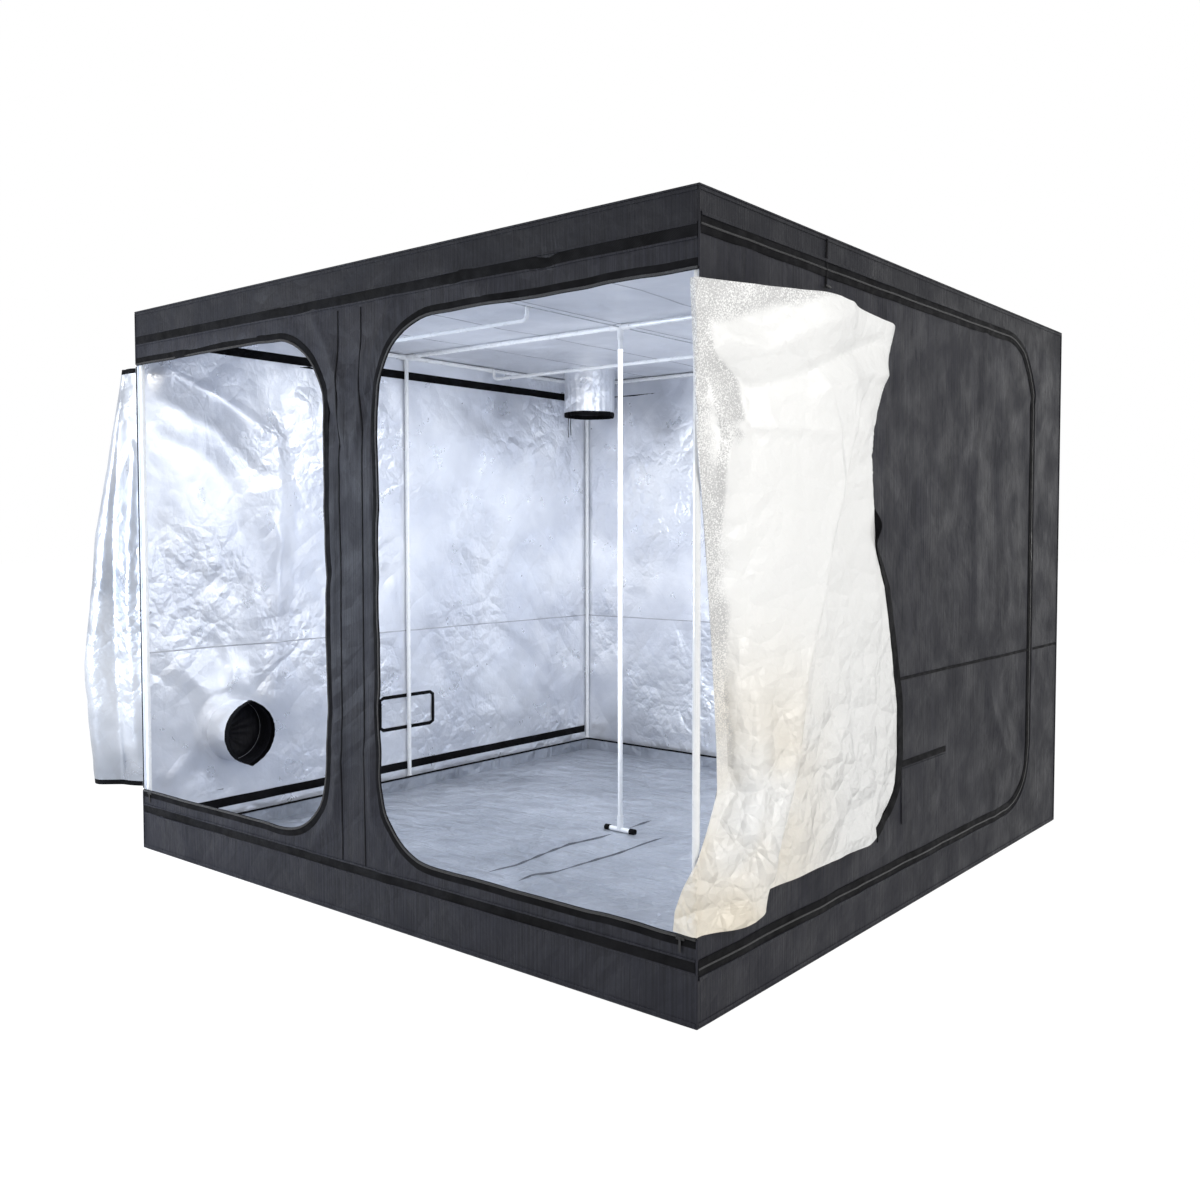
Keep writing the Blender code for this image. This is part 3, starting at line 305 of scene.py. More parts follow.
def stated_folds(u, v, folds):
    """The sum of size times ridge over (line, size, width) folds."""
    return sum(size * ridge(u, v, line, width) for line, size, width in folds)


def unit(vectors):
    """The same vectors with a length of one, along the last axis."""
    return vectors / (np.linalg.norm(vectors, axis=-1, keepdims=True) + 1e-12)


def headings(line, closed=False):
    """The direction of a line at each of its points, from its neighbours."""
    return unit(np.roll(line, -1, axis=0) - np.roll(line, 1, axis=0) if closed else np.gradient(line, axis=0))


def circle(count):
    """The cosines and sines of count even steps round a circle."""
    angle = np.arange(count) * 2 * math.pi / count
    return np.stack([np.cos(angle), np.sin(angle)], axis=-1)


def place(wall, u, v, w):
    """World points from a wall's own coordinates: u across, v up and w out of it."""
    origin, across, up, out = WALLS[wall][:4]
    return origin + np.multiply.outer(u, across) + np.multiply.outer(v, up) + np.multiply.outer(w, out)


def rounded(corners, steps=12):
    """An outline from (x, y, radius) corners, with an arc at each corner whose radius isn't zero."""
    points = []
    for i, (x, y, radius) in enumerate(corners):
        corner = Vector((x, y))
        if not radius:
            points.append(corner)
            continue
        before = (Vector(corners[i - 1][:2]) - corner).normalized()
        after = (Vector(corners[(i + 1) % len(corners)][:2]) - corner).normalized()
        half = before.angle(after) / 2
        centre = corner + (before + after).normalized() * (radius / math.sin(half))
        first = corner + before * (radius / math.tan(half)) - centre
        turn = first.angle_signed(corner + after * (radius / math.tan(half)) - centre)
        for step in range(steps + 1):
            spun = first.copy()
            spun.rotate(Matrix.Rotation(-turn * step / steps, 2))
            points.append(centre + spun)
    return np.array([tuple(p) for p in points])


def resampled(points, spacing, closed=False):
    """The same line with its points evenly spaced."""
    points = np.asarray(points, float)
    if closed:
        points = np.concatenate([points, points[:1]])
    steps = np.linalg.norm(np.diff(points, axis=0), axis=1)
    points = points[np.concatenate([[True], steps > 1e-6])]
    length = np.concatenate([[0], np.linalg.norm(np.diff(points, axis=0), axis=1).cumsum()])
    count = max(2, int(round(length[-1] / spacing)) + 1)
    at = np.linspace(0, length[-1], count)
    line = np.stack([np.interp(at, length, points[:, i]) for i in range(points.shape[1])], axis=-1)
    return line[:-1] if closed else line


# Meshes

def linked(name, mesh):
    made = bpy.data.objects.new(name, mesh)
    bpy.context.scene.collection.objects.link(made)
    return made


def finished(name, points, faces, materials, slots=None):
    """A smooth-shaded object in world coordinates, with a material for each face."""
    mesh = bpy.data.meshes.new(name)
    mesh.from_pydata(np.asarray(points, float).tolist(), [], [list(map(int, face)) for face in faces])
    for material in materials:
        mesh.materials.append(material)
    if slots is not None:
        mesh.polygons.foreach_set("material_index", np.asarray(slots, np.int32))
    mesh.validate()
    mesh.update()
    mesh.shade_smooth()
    mesh.set_sharp_from_angle(angle=math.radians(40))
    return linked(name, mesh)


# Turns a face over and keeps its first and third corner, between which it is split, so that cloth with two faces
# doesn't cross itself at a sharp fold
SAME_DIAGONAL = [0, 3, 2, 1]


def quads(index):
    """The faces between the rows and columns of an array of point numbers."""
    return np.stack([index[:-1, :-1], index[:-1, 1:], index[1:, 1:], index[1:, :-1]], axis=-1).reshape(-1, 4)


def normals_of(points):
    """The unit normals dP/drow x dP/dcolumn of a grid of points."""
    return unit(np.cross(np.gradient(points, axis=0), np.gradient(points, axis=1)))


def shell(name, points, thickness, materials, pick=None, ring=False, edge_slot=0):
    """Cloth with two faces and a rim, from a grid of points.

    The grid's normal is n = dP/drow x dP/dcolumn. The face on that side takes slot 0, the other slot 1 and the
    rim edge_slot, unless pick, an array of slots for each cell, says otherwise. ring joins the last column to
    the first."""
    rows, columns = points.shape[:2]
    wrapped = np.concatenate([points[:, -1:], points, points[:, :1]], axis=1) if ring else points
    normal = normals_of(wrapped)
    if ring:
        normal = normal[:, 1:-1]
    both = np.concatenate([(points + normal * thickness / 2).reshape(-1, 3),
                           (points - normal * thickness / 2).reshape(-1, 3)])
    index = np.arange(rows * columns).reshape(rows, columns)
    if ring:
        index = np.concatenate([index, index[:, :1]], axis=1)
    front = quads(index)[:, SAME_DIAGONAL]
    back = quads(index) + rows * columns
    edge = [index[0], index[-1][::-1]] + ([] if ring else [index[:, 0][::-1], index[:, -1]])
    rim = np.concatenate([np.stack([line[:-1], line[1:], line[1:] + rows * columns, line[:-1] + rows * columns],
                                   axis=-1) for line in edge])
    picked = np.zeros(len(front), int) if pick is None else pick.reshape(-1)
    slots = np.concatenate([picked, np.where(picked > 0, picked, 1), np.full(len(rim), edge_slot)])
    return finished(name, both, np.concatenate([front, back, rim]), materials, slots)


def swept(name, line, sides, outs, profile, materials, closed=False):
    """A closed profile, given as (sideways, outwards) points, carried along a line."""
    ring = line[:, None] + profile[None, :, :1] * sides[:, None] + profile[None, :, 1:] * outs[:, None]
    rows, columns = ring.shape[:2]
    index = np.arange(rows * columns).reshape(rows, columns)
    index = np.concatenate([index, index[:, :1]], axis=1)
    if closed:
        index = np.concatenate([index, index[:1]])
    faces = [list(face) for face in quads(index)]
    if not closed:
        faces += [list(index[0, :-1]), list(index[-1, :-1][::-1])]
    made = finished(name, ring.reshape(-1, 3), faces, materials)
    fixer = bmesh.new()
    fixer.from_mesh(made.data)
    bmesh.ops.recalc_face_normals(fixer, faces=fixer.faces)
    fixer.to_mesh(made.data)
    fixer.free()
    return made


def tape(name, wall, line, width, thickness, material, inside=False, closed=False, lift=0.0):
    """A sewn tape or seam that follows a line in a wall's own coordinates and lies on its cloth."""
    line = resampled(line, 0.025, closed)
    ahead = headings(line, closed)
    _, across, up, out = WALLS[wall][:4]
    sideways = ahead[:, 1:] * across - ahead[:, :1] * up
    face = -1 if inside else 1
    base = billow(wall, line[:, 0], line[:, 1]) - (CLOTH if inside else 0) + face * lift
    points = place(wall, line[:, 0], line[:, 1], base)
    h, t = width / 2, thickness
    profile = np.array([(-h, -0.0006), (-h, 0.55 * t), (-0.8 * h, 0.95 * t), (0, t), (0.8 * h, 0.95 * t),
                        (h, 0.55 * t), (h, -0.0006)])
    return swept(name, points, sideways, np.broadcast_to(face * out, points.shape), profile, [material], closed)


def rope(name, line, radius, material, sides=8, closed=False, spacing=0.03):
    """A round cord along a line in space."""
    line = resampled(line, spacing, closed)
    ahead = headings(line, closed)
    side = unit(np.cross(ahead, np.where(np.abs(ahead[:, 2:]) > 0.9, X, Z)))
    return swept(name, line, side, np.cross(side, ahead), radius * circle(sides), [material], closed)


def prism(outline, depth):
    """A cutter: the outline pushed through the wall, in the wall's own coordinates."""
    if np.cross(np.roll(outline, 1, axis=0), outline).sum() < 0:
        outline = outline[::-1]
    count = len(outline)
    points = [(u, v, w) for w in (-depth, depth) for u, v in outline]
    faces = [list(range(count))[::-1], list(range(count, 2 * count))]
    faces += [[i, (i + 1) % count, (i + 1) % count + count, i + count] for i in range(count)]
    mesh = bpy.data.meshes.new("cutter")
    mesh.from_pydata(points, [], faces)
    return linked("cutter", mesh)


def panel(name, wall, cell, materials, keep=None, holes=(), fine=0.0):
    """A wall's cloth: a fine slab, cut to an outline, with holes, then billowed into place.

    keep is an outline to stay inside of. Slot 0 is the outside's cloth and slot 1 the lining. Nearer to the middle
    than fine, the cells are half as wide."""
    *_, across, up, _ = WALLS[wall]
    spans = [(across[0], -fine, cell), (-fine, fine, cell / 2), (fine, across[1], cell)] if fine else [(*across, cell)]
    us = np.concatenate([*(np.linspace(a, b, int((b - a) / step) + 1)[:-1] for a, b, step in spans), across[1:]])
    vs = np.linspace(*up, int((up[1] - up[0]) / cell) + 1)
    grid = np.stack(np.meshgrid(us, vs, indexing="xy"), axis=-1).reshape(-1, 2)
    index = np.arange(len(grid)).reshape(len(vs), len(us))
    points = np.concatenate([np.column_stack([grid, np.zeros(len(grid))]),
                             np.column_stack([grid, np.full(len(grid), -CLOTH)])])
    rim = np.concatenate([index[0], index[1:, -1], index[-1, -2::-1], index[-2::-1, 0]])
    sides = np.stack([rim[:-1], rim[:-1] + len(grid), rim[1:] + len(grid), rim[1:]], axis=-1)
    faces = np.concatenate([quads(index), quads(index)[:, SAME_DIAGONAL] + len(grid), sides])
    mesh = bpy.data.meshes.new("slab")
    mesh.from_pydata(points.tolist(), [], faces.tolist())
    slab = linked("slab", mesh)
    cutters = [(prism(outline, 0.02), "DIFFERENCE") for outline in holes]
    cutters += [(prism(keep, 0.02), "INTERSECT")] if keep is not None else []
    for cutter, operation in cutters:
        modifier = slab.modifiers.new("cut", "BOOLEAN")
        modifier.operation, modifier.solver, modifier.object = operation, "EXACT", cutter
    bpy.context.view_layer.update()
    graph = bpy.context.evaluated_depsgraph_get()
    done = bpy.data.meshes.new_from_object(slab.evaluated_get(graph))
    for helper in [slab, *(cutter for cutter, _ in cutters)]:
        bpy.data.objects.remove(helper, do_unlink=True)
    flat = np.empty(len(done.vertices) * 3)
    done.vertices.foreach_get("co", flat)
    flat = flat.reshape(-1, 3)
    normals = np.empty(len(done.polygons) * 3)
    done.polygons.foreach_get("normal", normals)
    slots = (normals.reshape(-1, 3)[:, 2] < -0.5).astype(np.int32)
    world = place(wall, flat[:, 0], flat[:, 1], flat[:, 2] + billow(wall, flat[:, 0], flat[:, 1]))
    done.vertices.foreach_set("co", world.reshape(-1))
    done.materials.clear()
    for material in materials:
        done.materials.append(material)
    done.polygons.foreach_set("material_index", slots)
    done.update()
    done.shade_smooth()
    done.set_sharp_from_angle(angle=math.radians(50))
    done.name = name
    return linked(name, done)


# Shaders

class Wire:
    """A shader socket that takes part in sums like a number."""

    def __init__(self, tree, socket):
        self.tree, self.socket = tree, socket

    def node(self, kind, inputs=(), output=0, **settings):
        made = self.tree.nodes.new(kind)
        for key, value in settings.items():
            setattr(made, key, value)
        for key, value in dict(inputs).items():
            if isinstance(value, Wire):
                self.tree.links.new(value.socket, made.inputs[key])
            else:
                made.inputs[key].default_value = value
        return Wire(self.tree, made.outputs[output])

    def math(self, operation, other=0.0):
        return self.node("ShaderNodeMath", {0: self, 1: other}, operation=operation)

    def __add__(self, other):
        return self.math("ADD", other)

    def __sub__(self, other):
        return self.math("SUBTRACT", other)

    def __mul__(self, other):
        return self.math("MULTIPLY", other)

    __radd__, __rmul__ = __add__, __mul__

    def __rsub__(self, other):
        return self.node("ShaderNodeMath", {0: other, 1: self}, operation="SUBTRACT")

    def sine(self):
        return self.math("SINE")

    def size(self):
        return self.math("ABSOLUTE")

    def ramp(self, low, high, start=0.0, end=1.0):
        return self.node("ShaderNodeMapRange", {0: self, 1: low, 2: high, 3: start, 4: end},
                         interpolation_type="SMOOTHSTEP")

    def noise(self, scale, detail=3.0, roughness=0.55, distortion=0.0):
        return self.node("ShaderNodeTexNoise", {"Vector": self, "Scale": scale, "Detail": detail,
                                                "Roughness": roughness, "Distortion": distortion})

    def cells(self, scale, feature="F1", randomness=0.85):
        return self.node("ShaderNodeTexVoronoi", {"Vector": self, "Scale": scale, "Randomness": randomness},
                         feature=feature)

    def axis(self, which):
        return self.node("ShaderNodeSeparateXYZ", {0: self}, output=which)

    def stretched(self, scale):
        return self.node("ShaderNodeVectorMath", {0: self, 1: scale}, operation="MULTIPLY")

    def between(self, first, second):
        """A colour that goes from the first to the second as this socket goes from 0 to 1."""
        first, second = (end if isinstance(end, Wire) else (*end, 1) for end in (first, second))
        return self.node("ShaderNodeMix", {0: self, 6: first, 7: second}, output=2, data_type="RGBA",
                         clamp_factor=True)

    def patches(self, scale, detail, start, end):
        """A value that drifts from start to end in soft patches."""
        return self.noise(scale, detail).ramp(0.3, 0.7, start, end)

    def tints(self, scale, detail, first, second, edge=0.3, roughness=0.55):
        """A colour that drifts from the first to the second in soft patches."""
        return self.noise(scale, detail, roughness).ramp(edge, 1 - edge).between(first, second)


def material(name, build, metallic=0.0, specular=0.5, coat=0.0):
    """A Principled material. build(at) returns the colour, roughness and height sockets from Object coordinates,
    and how deep the bump is in metres."""
    made = bpy.data.materials.new(name)
    made.use_nodes = True
    tree = made.node_tree
    shader = tree.nodes["Principled BSDF"]
    at = Wire(tree, tree.nodes.new("ShaderNodeTexCoord").outputs["Object"])
    colour, roughness, height, depth = build(at)
    bump = at.node("ShaderNodeBump", {"Height": height, "Distance": depth, "Strength": 1.0}, output="Normal")
    for wanted, wire in (("Base Color", colour), ("Roughness", roughness), ("Normal", bump)):
        tree.links.new(wire.socket, shader.inputs[wanted])
    for wanted, value in (("Metallic", metallic), ("Specular IOR Level", specular), ("Coat Weight", coat)):
        shader.inputs[wanted].default_value = value
    return made


def crumple(at, scale):
    """Creases like those of a film that was folded up: flat facets of cells at three sizes, each as high as its
    point is far from the cell's edge, so that they meet in sharp lines."""
    warp = at.node("ShaderNodeTexNoise", {"Vector": at, "Scale": scale * 0.6, "Detail": 1.0}, output=1)
    moved = at.node("ShaderNodeVectorMath", {0: warp, 3: 0.22 / scale}, operation="SCALE")
    moved = at.node("ShaderNodeVectorMath", {0: at, 1: moved}, operation="ADD")
    coarse = moved.cells(scale, "DISTANCE_TO_EDGE")
    middle = moved.cells(scale * 2.3, "DISTANCE_TO_EDGE")
    fine = moved.cells(scale * 5.7, "DISTANCE_TO_EDGE")
    return coarse + middle * 0.5 + fine * 0.15


def sweeps(at, angle, along, across):
    """Long straight creases: the distance to the edges of cells that are stretched along a line which climbs at
    an angle over every upright wall. along and across are the cells per metre in both directions."""
    way, rise, warp = at.axis(0) + at.axis(1), at.axis(2), at.noise(1.6, 1.0)
    length = (way * math.cos(angle) + rise * math.sin(angle)) * along + warp * 1.5
    breadth = (rise * math.cos(angle) - way * math.sin(angle)) * across + warp * 1.8
    return at.node("ShaderNodeCombineXYZ", {0: length, 1: breadth, 2: 0.0}).cells(1.0, "DISTANCE_TO_EDGE")


def weave(at, pitch):
    """The over and under of a plain weave: sin(2 pi x / p) sin(2 pi z / p) on two crossed directions."""
    turns = 2 * math.pi / pitch
    return (at.axis(0) + at.axis(1)).math("MULTIPLY", turns).sine() * (at.axis(2) * turns).sine()


def look_black(at):
    """Charcoal cloth, with the fine upright streaks of its yarn and soft creases, and painted shade that darkens
    it from 1.885 m up.
    """
    cloud = at.noise(2.1, 4.0, 0.6)
    streak = at.stretched((120, 120, 2.5)).noise(1.0, 3.0, 0.6)
    colour = (cloud * 0.2 + streak * 0.8).ramp(0.34, 0.66).between((0.0145, 0.015, 0.0195), (0.0235, 0.024, 0.032))
    # Painted shade: the top of the cloth, from 1.885 m up, is darkened in the colour.
    painted_top_shade = at.axis(2).ramp(1.885, 1.910) * 0.45
    colour = painted_top_shade.between(colour, (0.0095, 0.010, 0.0125))
    front = at.axis(1).ramp(-1.20, -1.26)
    height = at.noise(4.5, 3.0, 0.55, 0.3) * 0.5 + crumple(at, 5.0) * 0.9 + sweeps(at, 0.7, 2.0, 9.0) * front
    height = height + streak * 0.22 + weave(at, 0.0028) * 0.010
    return colour, at.patches(7.0, 3.0, 0.42, 0.62), height, 0.010


def silver(dark, pale):
    """Silver film between two colours: long creases over flat facets, and crushed in some places."""
    def build(at):
        colour = at.tints(2.4, 3.0, dark, pale, edge=0.35)
        crushed = at.noise(1.7, 2.0, 0.5).ramp(0.40, 0.64, 0.15, 0.80)
        height = crumple(at, 7.0) * crushed + sweeps(at, 0.75, 1.3, 6.0) * 0.5 + sweeps(at, -0.95, 1.1, 4.5) * 0.5
        return colour, at.patches(9.0, 4.0, 0.27, 0.42), height + at.noise(2.2, 2.0), 0.016
    return build


def look_ceiling(at):
    colour = at.tints(2.0, 3.0, (0.64, 0.66, 0.71), (0.78, 0.80, 0.85), edge=0.35)
    height = crumple(at, 4.0) * 0.55 + at.noise(2.0, 2.0)
    return colour, at.patches(6.0, 3.0, 0.32, 0.48), height, 0.014


def look_lining(at):
    """The right door's near-white lining, with more crinkles on the front fold's lower half.
    Its colour holds painted light: a cream cast of painted shade and reflected colour on that lower half,
    and painted shade that greys the facet above a line that climbs backwards, the strip along the hinge
    and a thin band beside it, where small bright points are left as painted glints."""
    x, y, z = at.axis(0), at.axis(1), at.axis(2)
    low = z.ramp(1.10, 0.42)
    # Painted shade and reflected colour: a cream cast on the front fold's lower half.
    painted_warm_cast = low * y.ramp(-0.55, -1.10) * at.noise(2.3, 3.0).ramp(0.25, 0.60)
    colour = painted_warm_cast.between((0.90, 0.905, 0.90), (0.80, 0.735, 0.62))
    # Painted shade greys the facet above the climbing line, the hinge strip and the band beside it; the small bright
    # points left in them are painted glints.
    patch = at.noise(9.0, 2.0)
    facet = (z - y * 0.30 + patch * 0.04).ramp(2.065, 2.095)
    hinge = (x + patch * 0.04).ramp(1.324, 1.302) * y.ramp(-1.08, -1.16) * z.ramp(0.50, 0.85)
    band = (x - 1.312 + (z - 1.424).size() * 0.13).size().ramp(0.014, 0.007) * y.ramp(-1.08, -1.16)
    points = (at.noise(270.0, 2.0, 0.6) + patch * 0.25).ramp(0.60, 0.72)
    painted_shade = facet.math("MAXIMUM", hinge.math("MAXIMUM", band)) * (0.74 - points * 0.74)
    colour = painted_shade.between(colour, (0.45, 0.45, 0.457))
    grain = at.noise(160.0, 2.0, 0.6)
    height = crumple(at, 5.5) * (low * 1.7 + 0.6) + at.noise(3.0, 2.0) * 0.6 + grain * 0.03
    return colour, at.patches(11.0, 4.0, 0.40, 0.58), height, 0.020


def look_tray(at):
    """Coated tray cloth with creases that run from the front to the back."""
    colour = at.tints(2.5, 4.0, (0.28, 0.305, 0.355), (0.40, 0.43, 0.49), roughness=0.6)
    along = at.stretched((3.0, 9.0, 1.0)).noise(1.0, 3.0, 0.55, 0.4)
    height = along * 2.0 + crumple(at, 3.2) * 1.8 + crumple(at, 8.0) * 0.35
    return colour, at.patches(8.0, 3.0, 0.30, 0.46), height, 0.023


def look_tape(at):
    ribs = (at.axis(2) + at.axis(0) * 0.7 + at.axis(1) * 0.7) * (2 * math.pi / 0.004)
    colour = at.tints(9.0, 3.0, (0.0035, 0.0035, 0.004), (0.008, 0.008, 0.0095))
    return colour, at.patches(30.0, 2.0, 0.50, 0.70), ribs.sine() * 0.15 + at.noise(60.0, 2.0), 0.0012


def plain(scale, detail, first, second, rough, fine, depth):
    """A finish between two colours, with patches of roughness as (scale, detail, from, to), and a fine grain."""
    return lambda at: (at.tints(scale, detail, first, second), at.patches(*rough), at.noise(fine, 2.0), depth)


def look_steel(at):
    colour = at.tints(60.0, 3.0, (0.40, 0.42, 0.45), (0.55, 0.57, 0.60))
    twist = (at.axis(1) * 2600 + at.axis(0) * 1500).sine()
    return colour, at.patches(90.0, 2.0, 0.28, 0.42), twist, 0.0003


def look_teeth(at):
    """Zip teeth: a short wave along every direction of the tape, 3 mm from tooth to tooth."""
    run = (at.axis(0) + at.axis(1) + at.axis(2)) * (2 * math.pi / 0.003)
    colour = run.sine().ramp(-0.2, 0.4).between((0.006, 0.006, 0.007), (0.035, 0.035, 0.038))
    return colour, at.patches(90.0, 2.0, 0.32, 0.48), run.sine(), 0.0006


# Setting up

def set_camera():
    """The solved camera: f pixels and the principal point become a lens and a shift."""
    data = bpy.data.cameras.new("photo_camera")
    data.sensor_fit = "HORIZONTAL"
    data.sensor_width = 36
    data.lens = FOCAL_PIXELS / PHOTO_SIZE * data.sensor_width
    data.shift_x = -(CENTRE_PIXELS[0] / PHOTO_SIZE - 0.5)
    data.shift_y = CENTRE_PIXELS[1] / PHOTO_SIZE - 0.5
    camera = linked("photo_camera", data)
    camera.location = CAMERA_PLACE
    camera.rotation_euler = (math.pi / 2 - CAMERA_PITCH, CAMERA_ROLL, CAMERA_YAW)
    bpy.context.scene.camera = camera


def area_light(name, location, target, size, power, colour):
    data = bpy.data.lights.new(name, "AREA")
    data.shape = "RECTANGLE"
    data.size, data.size_y = size
    data.energy, data.color = power, colour
    lamp = linked(name, data)
    lamp.location = location
    lamp.rotation_mode = "QUATERNION"
    lamp.rotation_quaternion = (Vector(target) - Vector(location)).to_track_quat("-Z", "Y")
    lamp.visible_camera = False


def seen_directly(tree):
    """1 for what the camera sees, itself or in a mirror or through glass, and 0 for light on its way."""
    light = tree.nodes.new("ShaderNodeLightPath").outputs
    rays = [Wire(tree, light[f"Is {kind} Ray"]) for kind in ("Camera", "Glossy", "Transmission")]
    return rays[0].math("MAXIMUM", rays[1].math("MAXIMUM", rays[2]))


def set_stage():
    """A floor and world that the camera and mirrors see as white, and soft lamps. The floor's light for the
    camera stays a little short of white, so that the object's shadow shows."""
    scene = bpy.context.scene
    scene.view_settings.view_transform = "Standard"
    world = bpy.data.worlds.new("studio")
    world.use_nodes = True
    tree = world.node_tree
    background = tree.nodes["Background"]
    background.inputs["Color"].default_value = (1, 1, 1, 1)
    tree.links.new(seen_directly(tree).ramp(0.0, 1.0, WORLD_LIGHT, 1.0).socket, background.inputs["Strength"])
    scene.world = world

    mesh = bpy.data.meshes.new("studio_floor")
    corners = [(x * FLOOR_REACH, y * FLOOR_REACH, -FLOOR_DEPTH) for x, y in ((-1, -1), (1, -1), (1, 1), (-1, 1))]
    mesh.from_pydata(corners, [], [(0, 1, 2, 3)])
    paint = bpy.data.materials.new("studio_white")
    paint.use_nodes = True
    tree = paint.node_tree
    diffuse = tree.nodes["Principled BSDF"]
    diffuse.inputs["Base Color"].default_value = (0.80, 0.80, 0.80, 1)
    diffuse.inputs["Roughness"].default_value = 0.9
    glow = tree.nodes.new("ShaderNodeEmission")
    glow.inputs["Strength"].default_value = FLOOR_GLOW
    mix = tree.nodes.new("ShaderNodeMixShader")
    for number, socket in enumerate(((seen_directly(tree) * GLOW_SHARE).socket, diffuse.outputs[0], glow.outputs[0])):
        tree.links.new(socket, mix.inputs[number])
    tree.links.new(mix.outputs[0], tree.nodes["Material Output"].inputs["Surface"])
    mesh.materials.append(paint)
    floor = linked("studio_floor", mesh)

    for lamp in LAMPS:
        area_light(*lamp)


# Cover

def door_outline(side, grow=0.0):
    """The outline of one front door's opening, grown on every side. Its sewn edge wavers by a few millimetres."""
    if side > 0:
        inner, outer = MULLION_RIGHT - grow, HALF + 0.01
    else:
        inner, outer = MULLION_LEFT + grow, -HALF - 0.01
    low, high = SILL_TOP - grow, HEADER_BOTTOM + grow
    line = resampled(rounded([(outer, low, 0), (inner, low, OPENING_BOTTOM_RADIUS + grow),
                              (inner, high, OPENING_TOP_RADIUS + grow), (outer, high, 0)]), 0.018)
    u, v = line.T
    near = smooth(0.0, 0.08, np.abs(u - outer))
    return line + near[:, None] * np.stack([0.0040 * noise(v * 15, v * 0, 61 + side),
                                            0.0022 * noise(u * 12, u * 0, 65 + side)], axis=-1)


def opening_line(side, grow):
    """The line of a tape or zip round one front door's opening."""
    return carried_on(door_outline(side, grow), side * (HALF - 0.003), SILL_TOP - grow, HEADER_BOTTOM + grow)


def corner_pull(z):
    """How far behind the near corner the right door's cloth starts at a height."""
    return np.interp(z, CORNER_HEIGHTS, CORNER_PULLS)


def side_outline(grow=0.0, front=-HALF + CLOTH + GAP, pulled=False):
    """The D-shaped side door. Its front edge follows the cloth that the open front door pulls back."""
    corners = [(front, SIDE_LOW - grow, 0), (SIDE_FAR + grow, SIDE_LOW - grow, SIDE_BOTTOM_RADIUS + grow),
               (SIDE_FAR + grow, SIDE_HIGH + grow, SIDE_TOP_RADIUS + grow), (front, SIDE_HIGH + grow, 0)]
    outline = rounded(corners)
    if pulled:
        heights = np.linspace(SIDE_HIGH + grow, SIDE_LOW - grow, 60)[1:-1]
        edge = np.column_stack([front + np.maximum(corner_pull(heights), 0), heights])
        outline = np.concatenate([outline, edge])
    return outline


def vent_outline(grow=0.0):
    radius = 0.006 + grow / 2
    low, high, half = VENT_LOW - grow, VENT_HIGH + grow, VENT_HALF + grow
    return rounded([(-half, low, radius), (half, low, radius), (half, high, radius), (-half, high, radius)], 4)


def disc(u, v, radius):
    return (u, v) + radius * circle(48)


def make_outer_sleeve(looks):
    """The outer half of the wall port: a short black sleeve drawn nearly shut.

    Its radius falls from R at the wall to 0.12 R where it is tied, and widens to 0.22 R at the mouth, with pleats
    that grow deeper on the way."""
    grown = np.linspace(0, 1, 26)[:, None]
    angle = np.arange(120)[None, :] * 2 * math.pi / 120
    narrow = 1 - 0.88 * smooth(0.10, 0.85, grown) + 0.10 * smooth(0.88, 1.0, grown)
    pleats = 1 + 0.13 * smooth(0.15, 0.8, grown) * np.cos(15 * angle + 1.5 * np.sin(2 * angle))

    def tube(reach, grown, angle):
        out = HALF + CLOTH + OUTER_SLEEVE_LENGTH * grown ** 0.8
        return np.stack([np.broadcast_to(-out, reach.shape), WALL_SLEEVE.y + reach * np.cos(angle),
                         WALL_SLEEVE.z + reach * np.sin(angle) - OUTER_SLEEVE_DROOP * grown ** 1.5], axis=-1)

    points = tube((WALL_SLEEVE_RADIUS + 0.004) * narrow * pleats, grown, angle)
    sleeve = shell("wall_outer_sleeve_cloth", points, CLOTH, [looks["black"], looks["black"]], ring=True)
    keep_with(sleeve, "tent")
    line = tube(np.full(60, WALL_SLEEVE_RADIUS * 0.145), np.full(60, 0.86), np.arange(60) * 2 * math.pi / 60)
    ring = rope("wall_outer_sleeve_tie", line, 0.0022, looks["tape"], closed=True, spacing=0.004)
    keep_with(ring, "tent")


def keep_with(piece, body):
    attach(piece, body)
    return piece


def sew(*facts, **more):
    """A tape, seam or zip that is sewn on the cover."""
    keep_with(tape(*facts, **more), "tent")


def carried_on(line, end, low, high):
    """A line with its first and last points moved to a wall's end, at two heights."""
    return np.concatenate([[(end, low)], line[1:-1], [(end, high)]])


